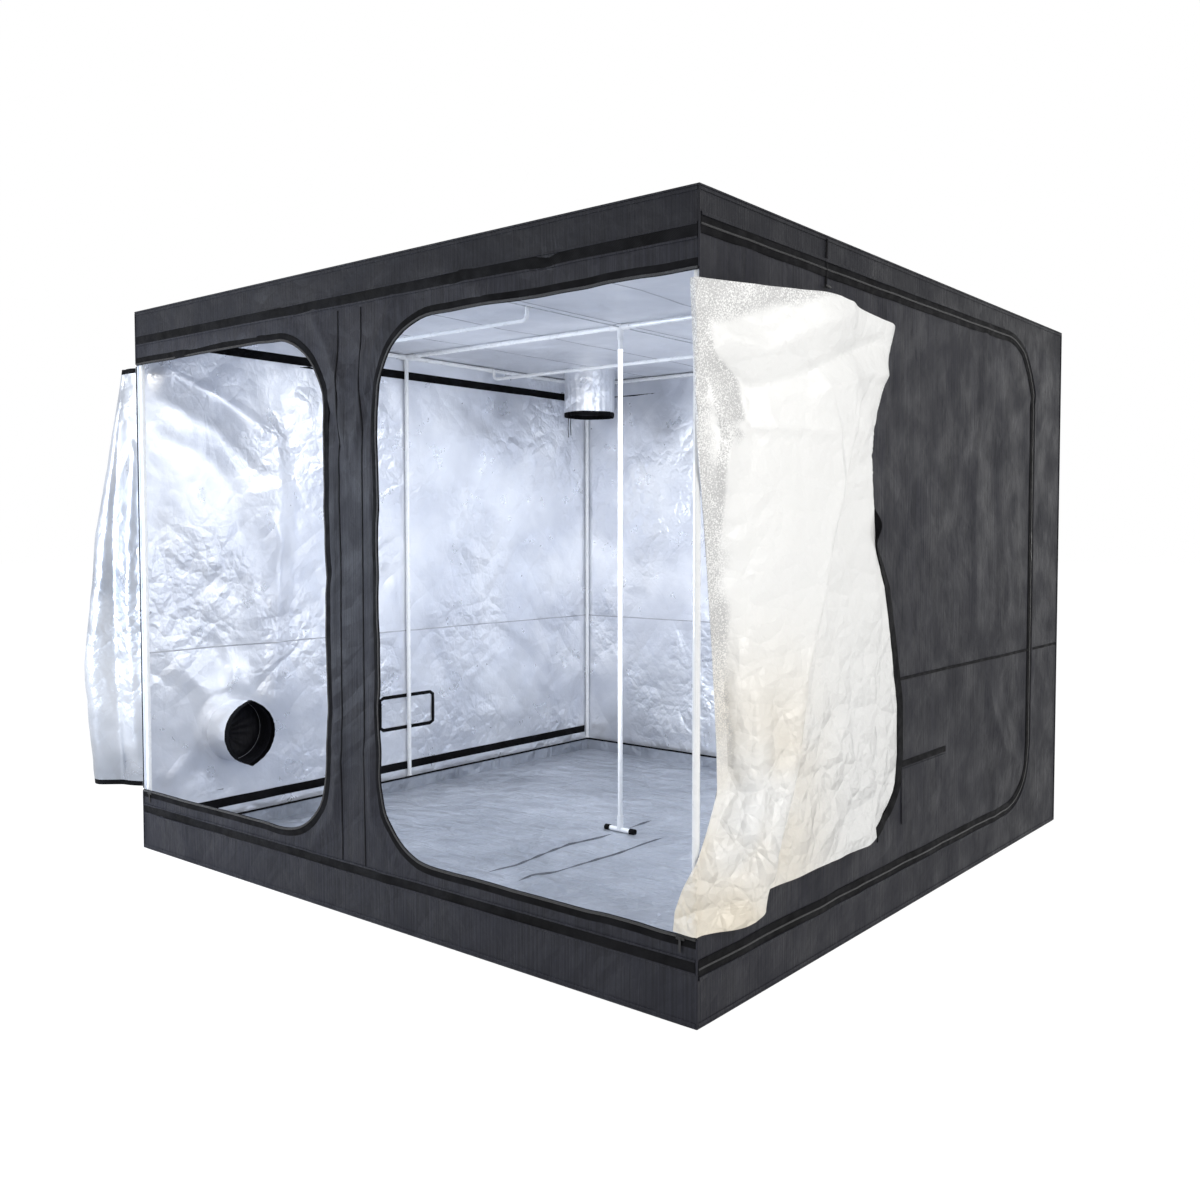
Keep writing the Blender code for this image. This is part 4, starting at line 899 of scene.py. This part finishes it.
def make_cover(looks):
    """The six sides of the cover and everything that is sewn on them."""
    two = [looks["black"], looks["silver"]]
    tall = HEIGHT - 2 * OUT_OF_PLANE
    front = panel("front_cloth", "front", 0.018, two, holes=[door_outline(1), door_outline(-1)], fine=0.30)
    back = panel("back_cloth", "back", 0.020, two)
    duct = disc(-WALL_SLEEVE.y, WALL_SLEEVE.z, WALL_SLEEVE_RADIUS - CLOTH)
    left = panel("left_cloth", "left", 0.018, two, holes=[vent_outline(), duct])
    door = panel("side_door_cloth", "right", 0.018, two, keep=side_outline(pulled=True), holes=[vent_outline()])
    wide = side_outline(GAP, -HALF - 0.02)
    surround = panel("right_cloth", "right", 0.03, two, holes=[wide])
    hole = disc(ROOF_SLEEVE.x, ROOF_SLEEVE.y, ROOF_SLEEVE_RADIUS - CLOTH)
    roof = panel("roof_cloth", "roof", 0.03, [looks["black"], looks["ceiling"]], holes=[hole])
    floor = panel("floor_cloth", "floor", 0.10, [looks["black"], looks["tray"]])
    across = 2 * HALF
    for piece, node, flat, area, post in (
            (front, "front_panel", (across, tall), 1.53, "top_rail_front"),
            (back, "back_panel", (across, tall), None, "top_rail_back"),
            (left, "left_panel", (across, tall), 5.0, "top_rail_left"),
            (door, "side_door", (2.23, 1.763), 3.82, "top_rail_right"),
            (surround, "right_surround", (across, tall), 1.53, "top_rail_right"),
            (roof, "roof_panel", (across, across), 6.45, "roof_bar_left"),
            (floor, "floor_skin", (across, across), None, "studio_floor")):
        keep_with(piece, "tent")
        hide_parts(node)

    black, band = looks["black"], looks["band"]
    ends = HALF - 0.004
    for wall in ("front", "right", "back", "left"):
        for name, z in (("top_seam_0", HEIGHT - 0.008), ("base_seam", 0.010)):
            sew(f"{wall}_{name}", wall, ((-ends, z), (ends, z)), *EDGE_SEAM, black)
        for name, z in (("low", 0.110), ("high", 1.905)) if wall in ("left", "right") else ():
            sew(f"{wall}_inner_band_{name}", wall, ((-1.25, z), (1.25, z)), 0.036, 0.0012, looks["tape"], inside=True,
                lift=0.0010)
        if wall != "front":
            line = ((-1.16 if wall == "right" else -1.262, 0.735), (1.262, 0.735))
            sew(f"{wall}_cross_seam", wall, line, *CROSS_SEAM, band)
            sew(f"{wall}_cross_seam_lining", wall, line, *LINING_SEAM, looks["seam"], inside=True)
    # The header band's black is partly its zip cover and partly painted shade.
    for part, low, high, width in (("header", 1.878, 1.912, 0.034), ("sill", 0.134, 0.166, 0.030)):
        for wall in ("front", "back", "left"):
            middle = (low + high) / 2
            sew(f"{wall}_{part}_band", wall, ((-1.27, middle), (1.27, middle)), width, 0.0016, band)
            for name, z in (("lower", low), ("upper", high)):
                sew(f"{wall}_{part}_stitch_{name}", wall, ((-1.27, z), (1.27, z)), *STITCH, black)
    for name, u in (("left", -0.075), ("right", 0.035)):
        sew(f"mullion_seam_{name}", "front", ((u, 0.17), (u, 1.865)), *MULLION_SEAM, band)

    for name, side in (("right", 1), ("left", -1)):
        line = opening_line(side, 0.013)
        sew(f"{name}_opening_tape", "front", line, 0.027, 0.0016, looks["tape"])
        sew(f"{name}_opening_tape_inside", "front", line, 0.027, 0.0012, looks["tape"], inside=True)
        sew(f"{name}_opening_zip", "front", opening_line(side, 0.004), *FRONT_ZIP, looks["teeth"])
    line = carried_on(side_outline(), -1.272, SIDE_LOW, SIDE_HIGH)
    sew("side_zip_tape", "right", line, 0.042, 0.0032, band)
    sew("side_zip_teeth", "right", line, *SIDE_ZIP, looks["teeth"])
    flap = carried_on(side_outline(0.024), -1.27, SIDE_LOW - 0.024, SIDE_HIGH + 0.024)
    sew("side_zip_flap", "right", flap, 0.010, 0.0048, black)
    sew("side_zip_tape_inside", "right", line, 0.024, 0.0012, looks["tape"], inside=True)
    for wall in ("left", "right"):
        sew(f"{wall}_vent_binding", wall, vent_outline(0.007), 0.016, 0.0014, looks["tape"], inside=True, closed=True)
    for x in (-0.85, -0.425, 0.0, 0.425, 0.85):
        sew(f"ceiling_seam_{int(round((x + 1) * 1000))}", "roof", ((x, -1.25), (x, 1.25)), *CEILING_SEAM,
            looks["seam"], inside=True)

    e = HALF + 0.0005
    full, below, above = (0.004, HEIGHT - 0.004), (0.004, SILL_TOP - 0.004), (HEADER_BOTTOM + 0.004, HEIGHT - 0.004)
    for x, y in ((x, y) for x in (-e, e) for y in (-e, e)):
        name = f"{'front' if y < 0 else 'back'}_{'right' if x > 0 else 'left'}"
        for number, (low, high) in enumerate((below, above) if y < 0 else (full,)):
            pipe = rope(f"corner_piping_{name}_{number}", [(x, y, low), (x, y, high)], 0.0028, black)
            keep_with(pipe, "tent")
    for name, z in (("top", HEIGHT - 0.0005), ("base", 0.0035)):
        loop = [(-e, -e, z), (e, -e, z), (e, e, z), (-e, e, z)]
        pipe = rope(f"{name}_piping", loop, 0.0032, black, closed=True, spacing=0.05)
        keep_with(pipe, "tent")


def make_straps(looks):
    """The narrow strap that hangs over the right header, its toggle, and a short loop near the sill."""
    line = [(-0.675, 1.992), (-0.677, 1.94), (-0.674, 1.90), (-0.676, 1.868)]
    strap = tape("header_strap", "right", line, 0.009, 0.0016, looks["tape"], lift=0.003)
    loop = tape("sill_loop", "right", [(-0.325, 0.250), (-0.323, 0.275), (-0.325, 0.300)], 0.008, 0.0016,
                looks["tape"])
    line = place("right", np.linspace(-0.690, -0.662, 7), np.full(7, 1.862), np.full(7, 0.007))
    swell = 1 - 0.35 * np.abs(np.linspace(-1, 1, 7)) ** 3
    toggle = swept("header_toggle", line, np.outer(swell, Z), np.outer(swell, X), 0.0045 * circle(12), [looks["zip"]])
    for piece in (strap, loop, toggle):
        keep_with(piece, "tent")


def tray_height(x, y, hx, hy):
    """How far the tray's cloth lies above the floor: long ripples, which fade at the border and under the foot."""
    inside = np.minimum(hx - np.abs(x), hy - np.abs(y))
    box = (-hx, hx, -hy, hy)
    ripple = 0.5 + 0.5 * noise(x * 5.5, y * 1.6, 71) + 0.5 * np.abs(creases(x, y, 72, 60, box, 0.5, 0.02, 1.4))
    foot = np.exp(-((x / 0.10) ** 2 + (y / 0.04) ** 2))
    return smooth(0.0, 0.12, inside) * 0.0062 * ripple * (1 - foot)


def make_tray_creases(looks, base, hx, hy):
    """Low ridges along the tray's creases, coloured dark as painted shade of the folds, which waver in size and
    taper to nothing at both ends.
    """
    profile = np.array([(-0.0085, -0.002), (-0.0055, 0.0030), (0, 0.0056), (0.0055, 0.0030), (0.0085, -0.002)])
    for number, line in enumerate(TRAY_CREASES):
        line = resampled(line, 0.018)
        x, y = line.T
        ends = np.minimum(np.arange(len(x)), np.arange(len(x))[::-1]) * 0.018
        size = (smooth(-0.01, 0.08, ends) * (0.85 + 0.35 * noise(y * 22, x, 75 + number)))[:, None]
        ahead = headings(line)
        side = np.column_stack([-ahead[:, 1], ahead[:, 0], np.zeros(len(x))])
        points = np.column_stack([x, y, base + tray_height(x, y, hx, hy)])
        crease = swept(f"tray_crease_shade_{number}", points, side * size, Z * size, profile, [looks["crease"]])
        keep_with(crease, "tent")


def make_tray(looks):
    """The loose tray: a sheet whose border of one cell stands up, with a black cord along its edge."""
    low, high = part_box("floor_tray")
    hx, hy, rise = high.x, high.y, high.z
    base = low.z + 0.0006
    us, vs = (np.concatenate([[-h - 2, -h - 1], np.linspace(-h, h, 85), [h + 1, h + 2]]) for h in (hx, hy))
    v, u = np.meshgrid(vs, us, indexing="ij")
    x, y = np.clip(u, -hx, hx), np.clip(v, -hy, hy)
    height = tray_height(x, y, hx, hy)
    step = np.maximum(np.abs(u) - hx, np.abs(v) - hy)
    lean = np.clip(step, 0, 2) / 2
    inward = lean * (0.001 + np.abs(0.0035 * noise(x * 4 + y * 4, step, 73)) * (lean > 0))
    x = x - np.sign(x) * inward * (np.abs(u) > hx)
    y = y - np.sign(y) * inward * (np.abs(v) > hy)
    points = np.stack([x, y, base + lean * (rise - base) + height], axis=-1)
    tray = shell("tray_cloth", points, TRAY_CLOTH, [looks["tray"], looks["tray"]])
    keep_with(tray, "tent")
    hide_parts("floor_tray")
    edge = np.concatenate([points[0, 2:-2], points[2:-2, -1], points[-1, 2:-2][::-1], points[2:-2, 0][::-1]])
    cord = rope("tray_piping", edge - 0.001 * Z, 0.0045, looks["tape"], closed=True)
    keep_with(cord, "tent")
    make_tray_creases(looks, base, hx, hy)


def make_foot_caps(looks):
    """Dark caps on the ends of the centre post's foot."""
    low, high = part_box("centre_foot")
    y, z = (low.y + high.y) / 2, low.z + FOOT_CAP / 2
    for number, (end, side) in enumerate(((low.x, -1), (high.x, 1))):
        line = [(end - 0.022 * side, y, z), (end + 0.002 * side, y, z)]
        cap = rope(f"foot_cap_{number}", line, FOOT_CAP / 2 + 0.0006, looks["tape"], sides=20, spacing=0.006)
        keep_with(cap, "tent")


def make_vent_flaps(looks):
    """A flap over each vent, and a closing strip along its top."""
    for side, name in ((1, "right"), (-1, "left")):
        low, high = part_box(f"{name}_vent_flap")
        z, y = np.meshgrid(np.linspace(high.z, low.z, 24), np.linspace(low.y, high.y, 40), indexing="ij")
        edge = np.minimum(np.minimum(y - low.y, high.y - y), np.minimum(z - low.z, high.z - z))
        sag = np.abs(0.0012 * noise(y * 18, z * 18, 31 + side) * smooth(0.004, 0.035, edge))
        lift = smooth(high.z, low.z, z) * 0.0025 + sag
        bulge = np.maximum(billow(name, side * y, z), 0) * smooth(high.z, high.z - 0.05, z)
        points = np.stack([side * (HALF + GAP + CLOTH / 2 + lift + bulge), y, z], axis=-1)
        if side < 0:
            points = points[:, ::-1]
        flap = shell(f"{name}_vent_cloth", points, CLOTH, [looks["black"], looks["silver"]])
        keep_with(flap, f"{name}_vent_flap")
        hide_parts(f"{name}_vent_flap")
        line = ((-0.165, high.z + 0.016), (0.168, high.z + 0.016))
        sew(f"{name}_vent_strip", name, line, 0.020, 0.0016, looks["tape"])


def make_sleeves(looks):
    """Two duct sleeves with gathered mouths. r = R + g (b - p R |cos a|^0.6 + q (cos k a - 1)), where g grows from
    0 at the wall to 1 at the mouth. The wall sleeve's mouth is pointed at its top and bottom."""
    flange_profile = np.array([(-0.011, 0.0), (-0.011, 0.0011), (0, 0.0014), (0.011, 0.0011), (0.011, 0.0)])
    for name, port, axes, radius, length, grow, point, waves, lobes, rests_on in (
            ("wall", WALL_SLEEVE + Vector((CLOTH, 0, 0)), (Y, Z, X), WALL_SLEEVE_RADIUS, 0.130, 0.010, 0.24, 0.0, 4,
             "left_cloth"),
            ("roof", ROOF_SLEEVE - Vector((0, 0, CLOTH)), (X, -Y, -Z), ROOF_SLEEVE_RADIUS, 0.235, 0.0, 0.0, 0.004, 5,
             "roof_cloth")):
        rings, sides = 34, 112
        rise = np.linspace(GAP + CLOTH / 2, length, rings)[:, None]
        grown = np.clip(rise / length, 0, 1)
        angle = np.arange(sides)[None, :] * 2 * math.pi / sides
        gather = grown * (grow - point * radius * np.abs(np.cos(angle)) ** 0.6 + waves * (np.cos(lobes * angle) - 1))
        fine = (0.0006 + waves * 0.4) * grown * np.cos(23 * angle + 2 * np.sin(3 * angle))
        crinkle = 0.0016 * creases(angle * radius, rise, 51 + lobes, 60, (0, 0.8, 0, length), 0.05, 0.008, 0.5)
        hem = 0.0016 * smooth(length - 0.030, length - 0.024, rise) * smooth(length + 0.001, length - 0.002, rise)
        reach = radius + gather + fine + crinkle * smooth(0, 0.02, rise) + hem
        along = np.stack([reach * np.cos(angle), reach * np.sin(angle), np.broadcast_to(rise, reach.shape)], axis=-1)
        points = np.array(port) + along @ np.array(axes)
        band = np.zeros((rings - 1, sides), int)
        band[rise[:-1, 0] > length - 0.028] = 2
        sleeve = shell(f"{name}_sleeve_cloth", points[:, ::-1], CLOTH, [looks["silver"], looks["black"],
                                                                    looks["tape"]], band, ring=True, edge_slot=2)
        keep_with(sleeve, "tent")
        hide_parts(f"{name}_duct_sleeve")
        radial = circle(56) @ np.array(axes[:2])
        ring = np.array(port) + (radius + 0.010) * radial + 0.001 * axes[2]
        flange = swept(f"{name}_sleeve_flange", ring, radial, np.broadcast_to(axes[2], ring.shape), flange_profile,
                       [looks["silver"]], closed=True)
        keep_with(flange, "tent")


def make_drawstring(looks):
    """Two tails that hang from the hem of the roof sleeve."""
    low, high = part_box("drawstring")
    middle = (low + high) / 2
    top = high.z - 0.004
    for number, side in enumerate((-1, 1)):
        x, y = middle.x + side * 0.0067, middle.y + side * 0.0018
        drop = np.linspace(0, top - low.z - 0.004 - 0.010 * number, 16)
        sway = 0.0012 * np.sin(drop * 60 + number) * smooth(0, 0.03, drop)
        line = np.stack([x + sway, np.full(16, y), top - drop], axis=-1)
        tail = rope(f"drawstring_tail_{number}", line, 0.0019, looks["tape"], sides=8, spacing=0.006)
        keep_with(tail, "tent")
        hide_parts("drawstring")


# Doors

def smooth_path(stations, samples):
    """A Catmull-Rom curve through the stations of each row, sampled evenly by length.

    stations has the shape rows, stations, 2. Each stretch is the cubic through its two ends whose slope at an
    end is half the step between that end's neighbours."""
    padded = np.concatenate([2 * stations[:, :1] - stations[:, 1:2], stations,
                             2 * stations[:, -1:] - stations[:, -2:-1]], axis=1)
    before, start, end, after = (padded[:, i:padded.shape[1] - 3 + i, None] for i in range(4))
    t = np.linspace(0, 1, 17)[:-1][None, None, :, None]
    curve = start + 0.5 * t * (end - before) + t * t * (before - 2.5 * start + 2 * end - 0.5 * after)
    curve = curve + t ** 3 * (1.5 * (start - end) + 0.5 * (after - before))
    curve = np.concatenate([curve.reshape(len(stations), -1, 2), stations[:, -1:]], axis=1)
    length = np.linalg.norm(np.diff(curve, axis=1), axis=2).cumsum(axis=1)
    length = np.concatenate([np.zeros((len(stations), 1)), length], axis=1) / length[:, -1:]
    return np.stack([np.stack([np.interp(samples, l, row[:, axis]) for axis in (0, 1)], axis=-1)
                     for l, row in zip(length, curve)])


def levels_of(paths, heights, levels):
    """The stations of every level, blended smoothly between the stated heights."""
    stations = np.array(paths)
    blended = np.stack([[np.interp(levels, heights, stations[:, i, axis]) for axis in (0, 1)]
                        for i in range(stations.shape[1])])
    kernel = np.array([1, 4, 6, 4, 1]) / 16
    padded = np.pad(blended, ((0, 0), (0, 0), (2, 2)), mode="edge")
    blended = sum(weight * padded[:, :, i:i + len(levels)] for i, weight in enumerate(kernel))
    return blended.transpose(2, 0, 1)


def door_grid(width, columns, rows):
    """Cut places across a door, and for each its lowest and highest point. The free corners are rounded."""
    u = np.concatenate([np.linspace(0, 1 - DOOR_HEM / width, columns), [1.0]])
    cut = (u * width)[None, :]
    over = np.clip(cut - (width - DOOR_CORNER), 0, None)
    trim = DOOR_CORNER - np.sqrt(np.clip(DOOR_CORNER ** 2 - over ** 2, 0, None))
    low, high = DOOR_LOW + trim, DOOR_HIGH - trim
    hem = DOOR_HEM / 1.57
    v = np.concatenate([[0], np.linspace(hem, 1 - hem, rows), [1]])[:, None]
    z = low + v * (high - low)
    return u, cut, z, (z - DOOR_LOW) / (DOOR_HIGH - DOOR_LOW)


def in_plan(paths, share, levels):
    """Where each point of a door lies in plan: on its path at its own share of the height."""
    return np.stack([[np.interp(share[:, column], levels, paths[:, column, axis]) for axis in (0, 1)]
                     for column in range(share.shape[1])]).transpose(2, 0, 1)


def hang_door(side, points, film, looks, hem_rows=()):
    """The cloth of a front door from its grid of points, with a black hem at its free edge and on some rows."""
    name = f"front_{side}_door"
    hem = np.zeros((points.shape[0] - 1, points.shape[1] - 1), int)
    hem[:, -1] = 2
    hem[list(hem_rows)] = 2
    if side == "right":
        points, hem = points[:, ::-1], hem[:, ::-1]
    door = shell(f"{name}_cloth", points, DOOR_CLOTH, [film, looks["black"], looks["tape"]], hem)
    keep_with(door, name)
    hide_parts(name)


def make_right_door(looks):
    """The right door, swung round its corner. Its main fold leans back as it rises, its loose corner droops over
    the fold at the top, and its foot wraps the corner post. Round the corner it stays within
    c = 2.2 mm + 0.14 b + 2 max(b - 26 mm, 0) of the side wall, where b is the way back, so that it clears the post
    when it is swung shut."""
    width = HALF - MULLION_RIGHT - 0.008
    u, cut, z, share = door_grid(width, 120, 150)
    levels = np.linspace(0, 1, 97)
    rest = levels_of(RIGHT_PATHS, RIGHT_LEVELS, levels) * width
    pull = corner_pull(DOOR_LOW + levels * (DOOR_HIGH - DOOR_LOW) - 0.015 * levels)
    ahead = smooth(0.012, -0.012, pull)[:, None]
    behind, same = np.maximum(pull, 0), np.ones_like(pull)
    start = []
    for back, out, before, wrapped, past in WRAP_STATIONS:
        wall_point = np.stack([behind + back, out * same], axis=-1)
        front_point = np.stack([-before * same, np.minimum(pull, 0) * wrapped + past], axis=-1)
        start.append(wall_point * (1 - ahead) + front_point * ahead)
    rest[:, 0, 0] = np.maximum(rest[:, 0, 0], behind + 0.052)
    rest[:, 1, 0] = np.maximum(rest[:, 1, 0], behind + 0.075)
    paths = smooth_path(np.concatenate([np.stack(start, axis=1), rest], axis=1), u)
    back, out = np.moveaxis(in_plan(paths, share, levels), -1, 0)
    lift, first, last = (value * width for value in RIGHT_LIFT)
    rise = z + lift * smooth(first, last, cut) * (1 - share) - 0.015 * share ** 2
    out = np.where(back > 0.0, np.maximum(out, 0.0), out)
    points = np.stack([HALF + HINGE + out, -HALF - HINGE + back, rise], axis=-1)
    free = smooth(0.02, 0.10, cut) * smooth(0, 0.05, np.abs(out) + 0.02)
    box = (0, width, DOOR_LOW, DOOR_HIGH)
    fold = 0.0045 * creases(cut, z, 81, 90, box, 0.20, 0.022, 1.1)
    small = 0.0016 * creases(cut, z, 82, 160, box, 0.07, 0.010, 0.2)
    hang = 0.0022 * np.sin(cut * 34 + 2.2 * noise(cut * 3, z * 2, 83)) * smooth(1.2, 0.4, z)
    move = free * np.clip(fold + small + hang + stated_folds(cut, z, RIGHT_FOLDS), -0.030, 0.030)
    points = points - normals_of(points) * move[..., None]
    points[..., 0] = np.where(points[..., 1] > -HALF + 0.01, np.maximum(points[..., 0], HALF + HINGE), points[..., 0])
    back = points[..., 1] + HALF + HINGE
    clear = 0.0022 + 0.14 * np.maximum(back, 0) + 2.0 * np.maximum(back - 0.026, 0)
    points[..., 0] = np.minimum(points[..., 0], HALF + HINGE + clear)
    hang_door("right", points, looks["lining"], looks)

    arc = np.nonzero(cut[0] > width - 0.17)[0]
    stop = int(np.searchsorted(z[:, -1], 1.36))
    line = np.concatenate([points[0, arc], points[1:stop, -1]])
    inward = np.concatenate([points[4, arc - 4], points[1:stop, -5]]) - line
    ahead = headings(line)
    inward = unit(inward - (inward * ahead).sum(axis=1, keepdims=True) * ahead)
    profile = np.array([(-0.003, -0.0024), (0.033, -0.0024), (0.034, 0.0), (0.033, 0.0024), (-0.003, 0.0024)])
    hem = swept("front_right_door_edge_tape", line, inward, np.cross(ahead, inward), profile, [looks["tape"]])
    keep_with(hem, "front_right_door")


def make_left_door(looks):
    """The left door, swung round its corner, with a black hem at its top and bottom."""
    width = HALF + MULLION_LEFT - 0.008
    u, cut, z, share = door_grid(width, 110, 90)
    levels = np.linspace(0, 1, 97)
    paths = smooth_path(levels_of(LEFT_PATHS, LEFT_LEVELS, levels) * width, u)
    along, aside = np.moveaxis(in_plan(paths, share, levels), -1, 0)
    lift, first, last = (value * width for value in LEFT_LIFT)
    rise = z + lift * smooth(first, last, cut) * (1 - share)
    out = np.maximum(aside * math.cos(LEFT_LEAN) + along * math.sin(LEFT_LEAN), 0)
    back = along * math.cos(LEFT_LEAN) - aside * math.sin(LEFT_LEAN)
    points = np.stack([-HALF - HINGE - out, -HALF - HINGE + back, rise], axis=-1)
    box = (0, width, DOOR_LOW, DOOR_HIGH)
    fold = 0.0050 * creases(cut, z, 91, 90, box, 0.22, 0.025, 1.2)
    small = 0.0018 * creases(cut, z, 92, 140, box, 0.07, 0.010, 0.3)
    move = smooth(0.03, 0.12, cut) * np.clip(fold + small + stated_folds(cut, z, LEFT_FOLDS), -0.020, 0.020)
    points = points + normals_of(points) * move[..., None]
    points[..., 0] = np.minimum(points[..., 0], -HALF - HINGE)
    # The left door's film is the darker copy of the silver, as painted shade.
    hang_door("left", points, looks["shaded_door_silver"], looks, hem_rows=(0, -1))


def paint_frame(frame, looks):
    """New materials on the tubes, connectors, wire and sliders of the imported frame."""
    for name, node in frame["nodes"].items():
        if node.hide_render:
            continue
        if "post" in name or "rail" in name or "bar" in name:
            look = looks["paint"]
        elif "zip_slider" in name:
            look = looks["zip"]
        elif name == "roof_wire":
            look = looks["steel"]
        else:
            look = looks["plastic"]
        for slot in node.material_slots:
            slot.material = look


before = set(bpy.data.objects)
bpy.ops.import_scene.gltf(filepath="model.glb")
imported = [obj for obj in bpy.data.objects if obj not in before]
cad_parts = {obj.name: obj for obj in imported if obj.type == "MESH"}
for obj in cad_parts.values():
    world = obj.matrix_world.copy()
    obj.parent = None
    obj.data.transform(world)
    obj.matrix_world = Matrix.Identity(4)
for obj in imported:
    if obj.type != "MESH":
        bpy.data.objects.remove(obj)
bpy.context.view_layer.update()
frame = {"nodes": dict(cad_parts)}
set_camera()
set_stage()
LOOKS = {
    "black": material("black_oxford_cloth", look_black, specular=0.14),
    "band": material("black_zip_cover", look_tape, specular=0.05),
    "silver": material("silver_film", silver((0.70, 0.725, 0.785), (0.86, 0.88, 0.92)), metallic=0.65),
    # Painted shade: a darker copy of the silver film for the left door.
    "shaded_door_silver": material("door_silver_film", silver((0.31, 0.33, 0.37), (0.55, 0.57, 0.61)), metallic=0.65),
    "ceiling": material("ceiling_film", look_ceiling, metallic=0.35),
    "lining": material("door_film", look_lining, metallic=0.05),
    "tray": material("tray_sheet", look_tray, metallic=0.15),
    # Painted shade: the dark colour of the tray's crease ridges.
    "crease": material("tray_crease_shade", plain(30.0, 2.0, (0.055, 0.062, 0.078), (0.11, 0.12, 0.145),
                                            (30.0, 2.0, 0.40, 0.60), 90.0, 0.001), metallic=0.15),
    "tape": material("black_webbing", look_tape, specular=0.04),
    "seam": material("silver_seam", plain(12.0, 3.0, (0.34, 0.35, 0.39), (0.48, 0.49, 0.53),
                                          (30.0, 2.0, 0.4, 0.6), 90.0, 0.001)),
    "paint": material("white_paint", plain(14.0, 3.0, (0.84, 0.86, 0.88), (0.90, 0.91, 0.92),
                                           (40.0, 3.0, 0.24, 0.36), 160.0, 0.0002), coat=0.3),
    "plastic": material("white_moulded_plastic", plain(20.0, 3.0, (0.78, 0.80, 0.82), (0.86, 0.87, 0.88),
                                                       (60.0, 3.0, 0.40, 0.55), 420.0, 0.0003)),
    "steel": material("steel_wire", look_steel, metallic=1.0),
    "zip": material("black_zip_metal", plain(80.0, 2.0, (0.015, 0.015, 0.016), (0.03, 0.03, 0.032),
                                             (90.0, 2.0, 0.28, 0.42), 300.0, 0.0002), metallic=0.6),
    "teeth": material("zip_teeth", look_teeth),
}
make_drawstring(LOOKS)
make_cover(LOOKS)
make_straps(LOOKS)
make_tray(LOOKS)
make_foot_caps(LOOKS)
make_vent_flaps(LOOKS)
make_sleeves(LOOKS)
make_outer_sleeve(LOOKS)
make_right_door(LOOKS)
make_left_door(LOOKS)
paint_frame(frame, LOOKS)
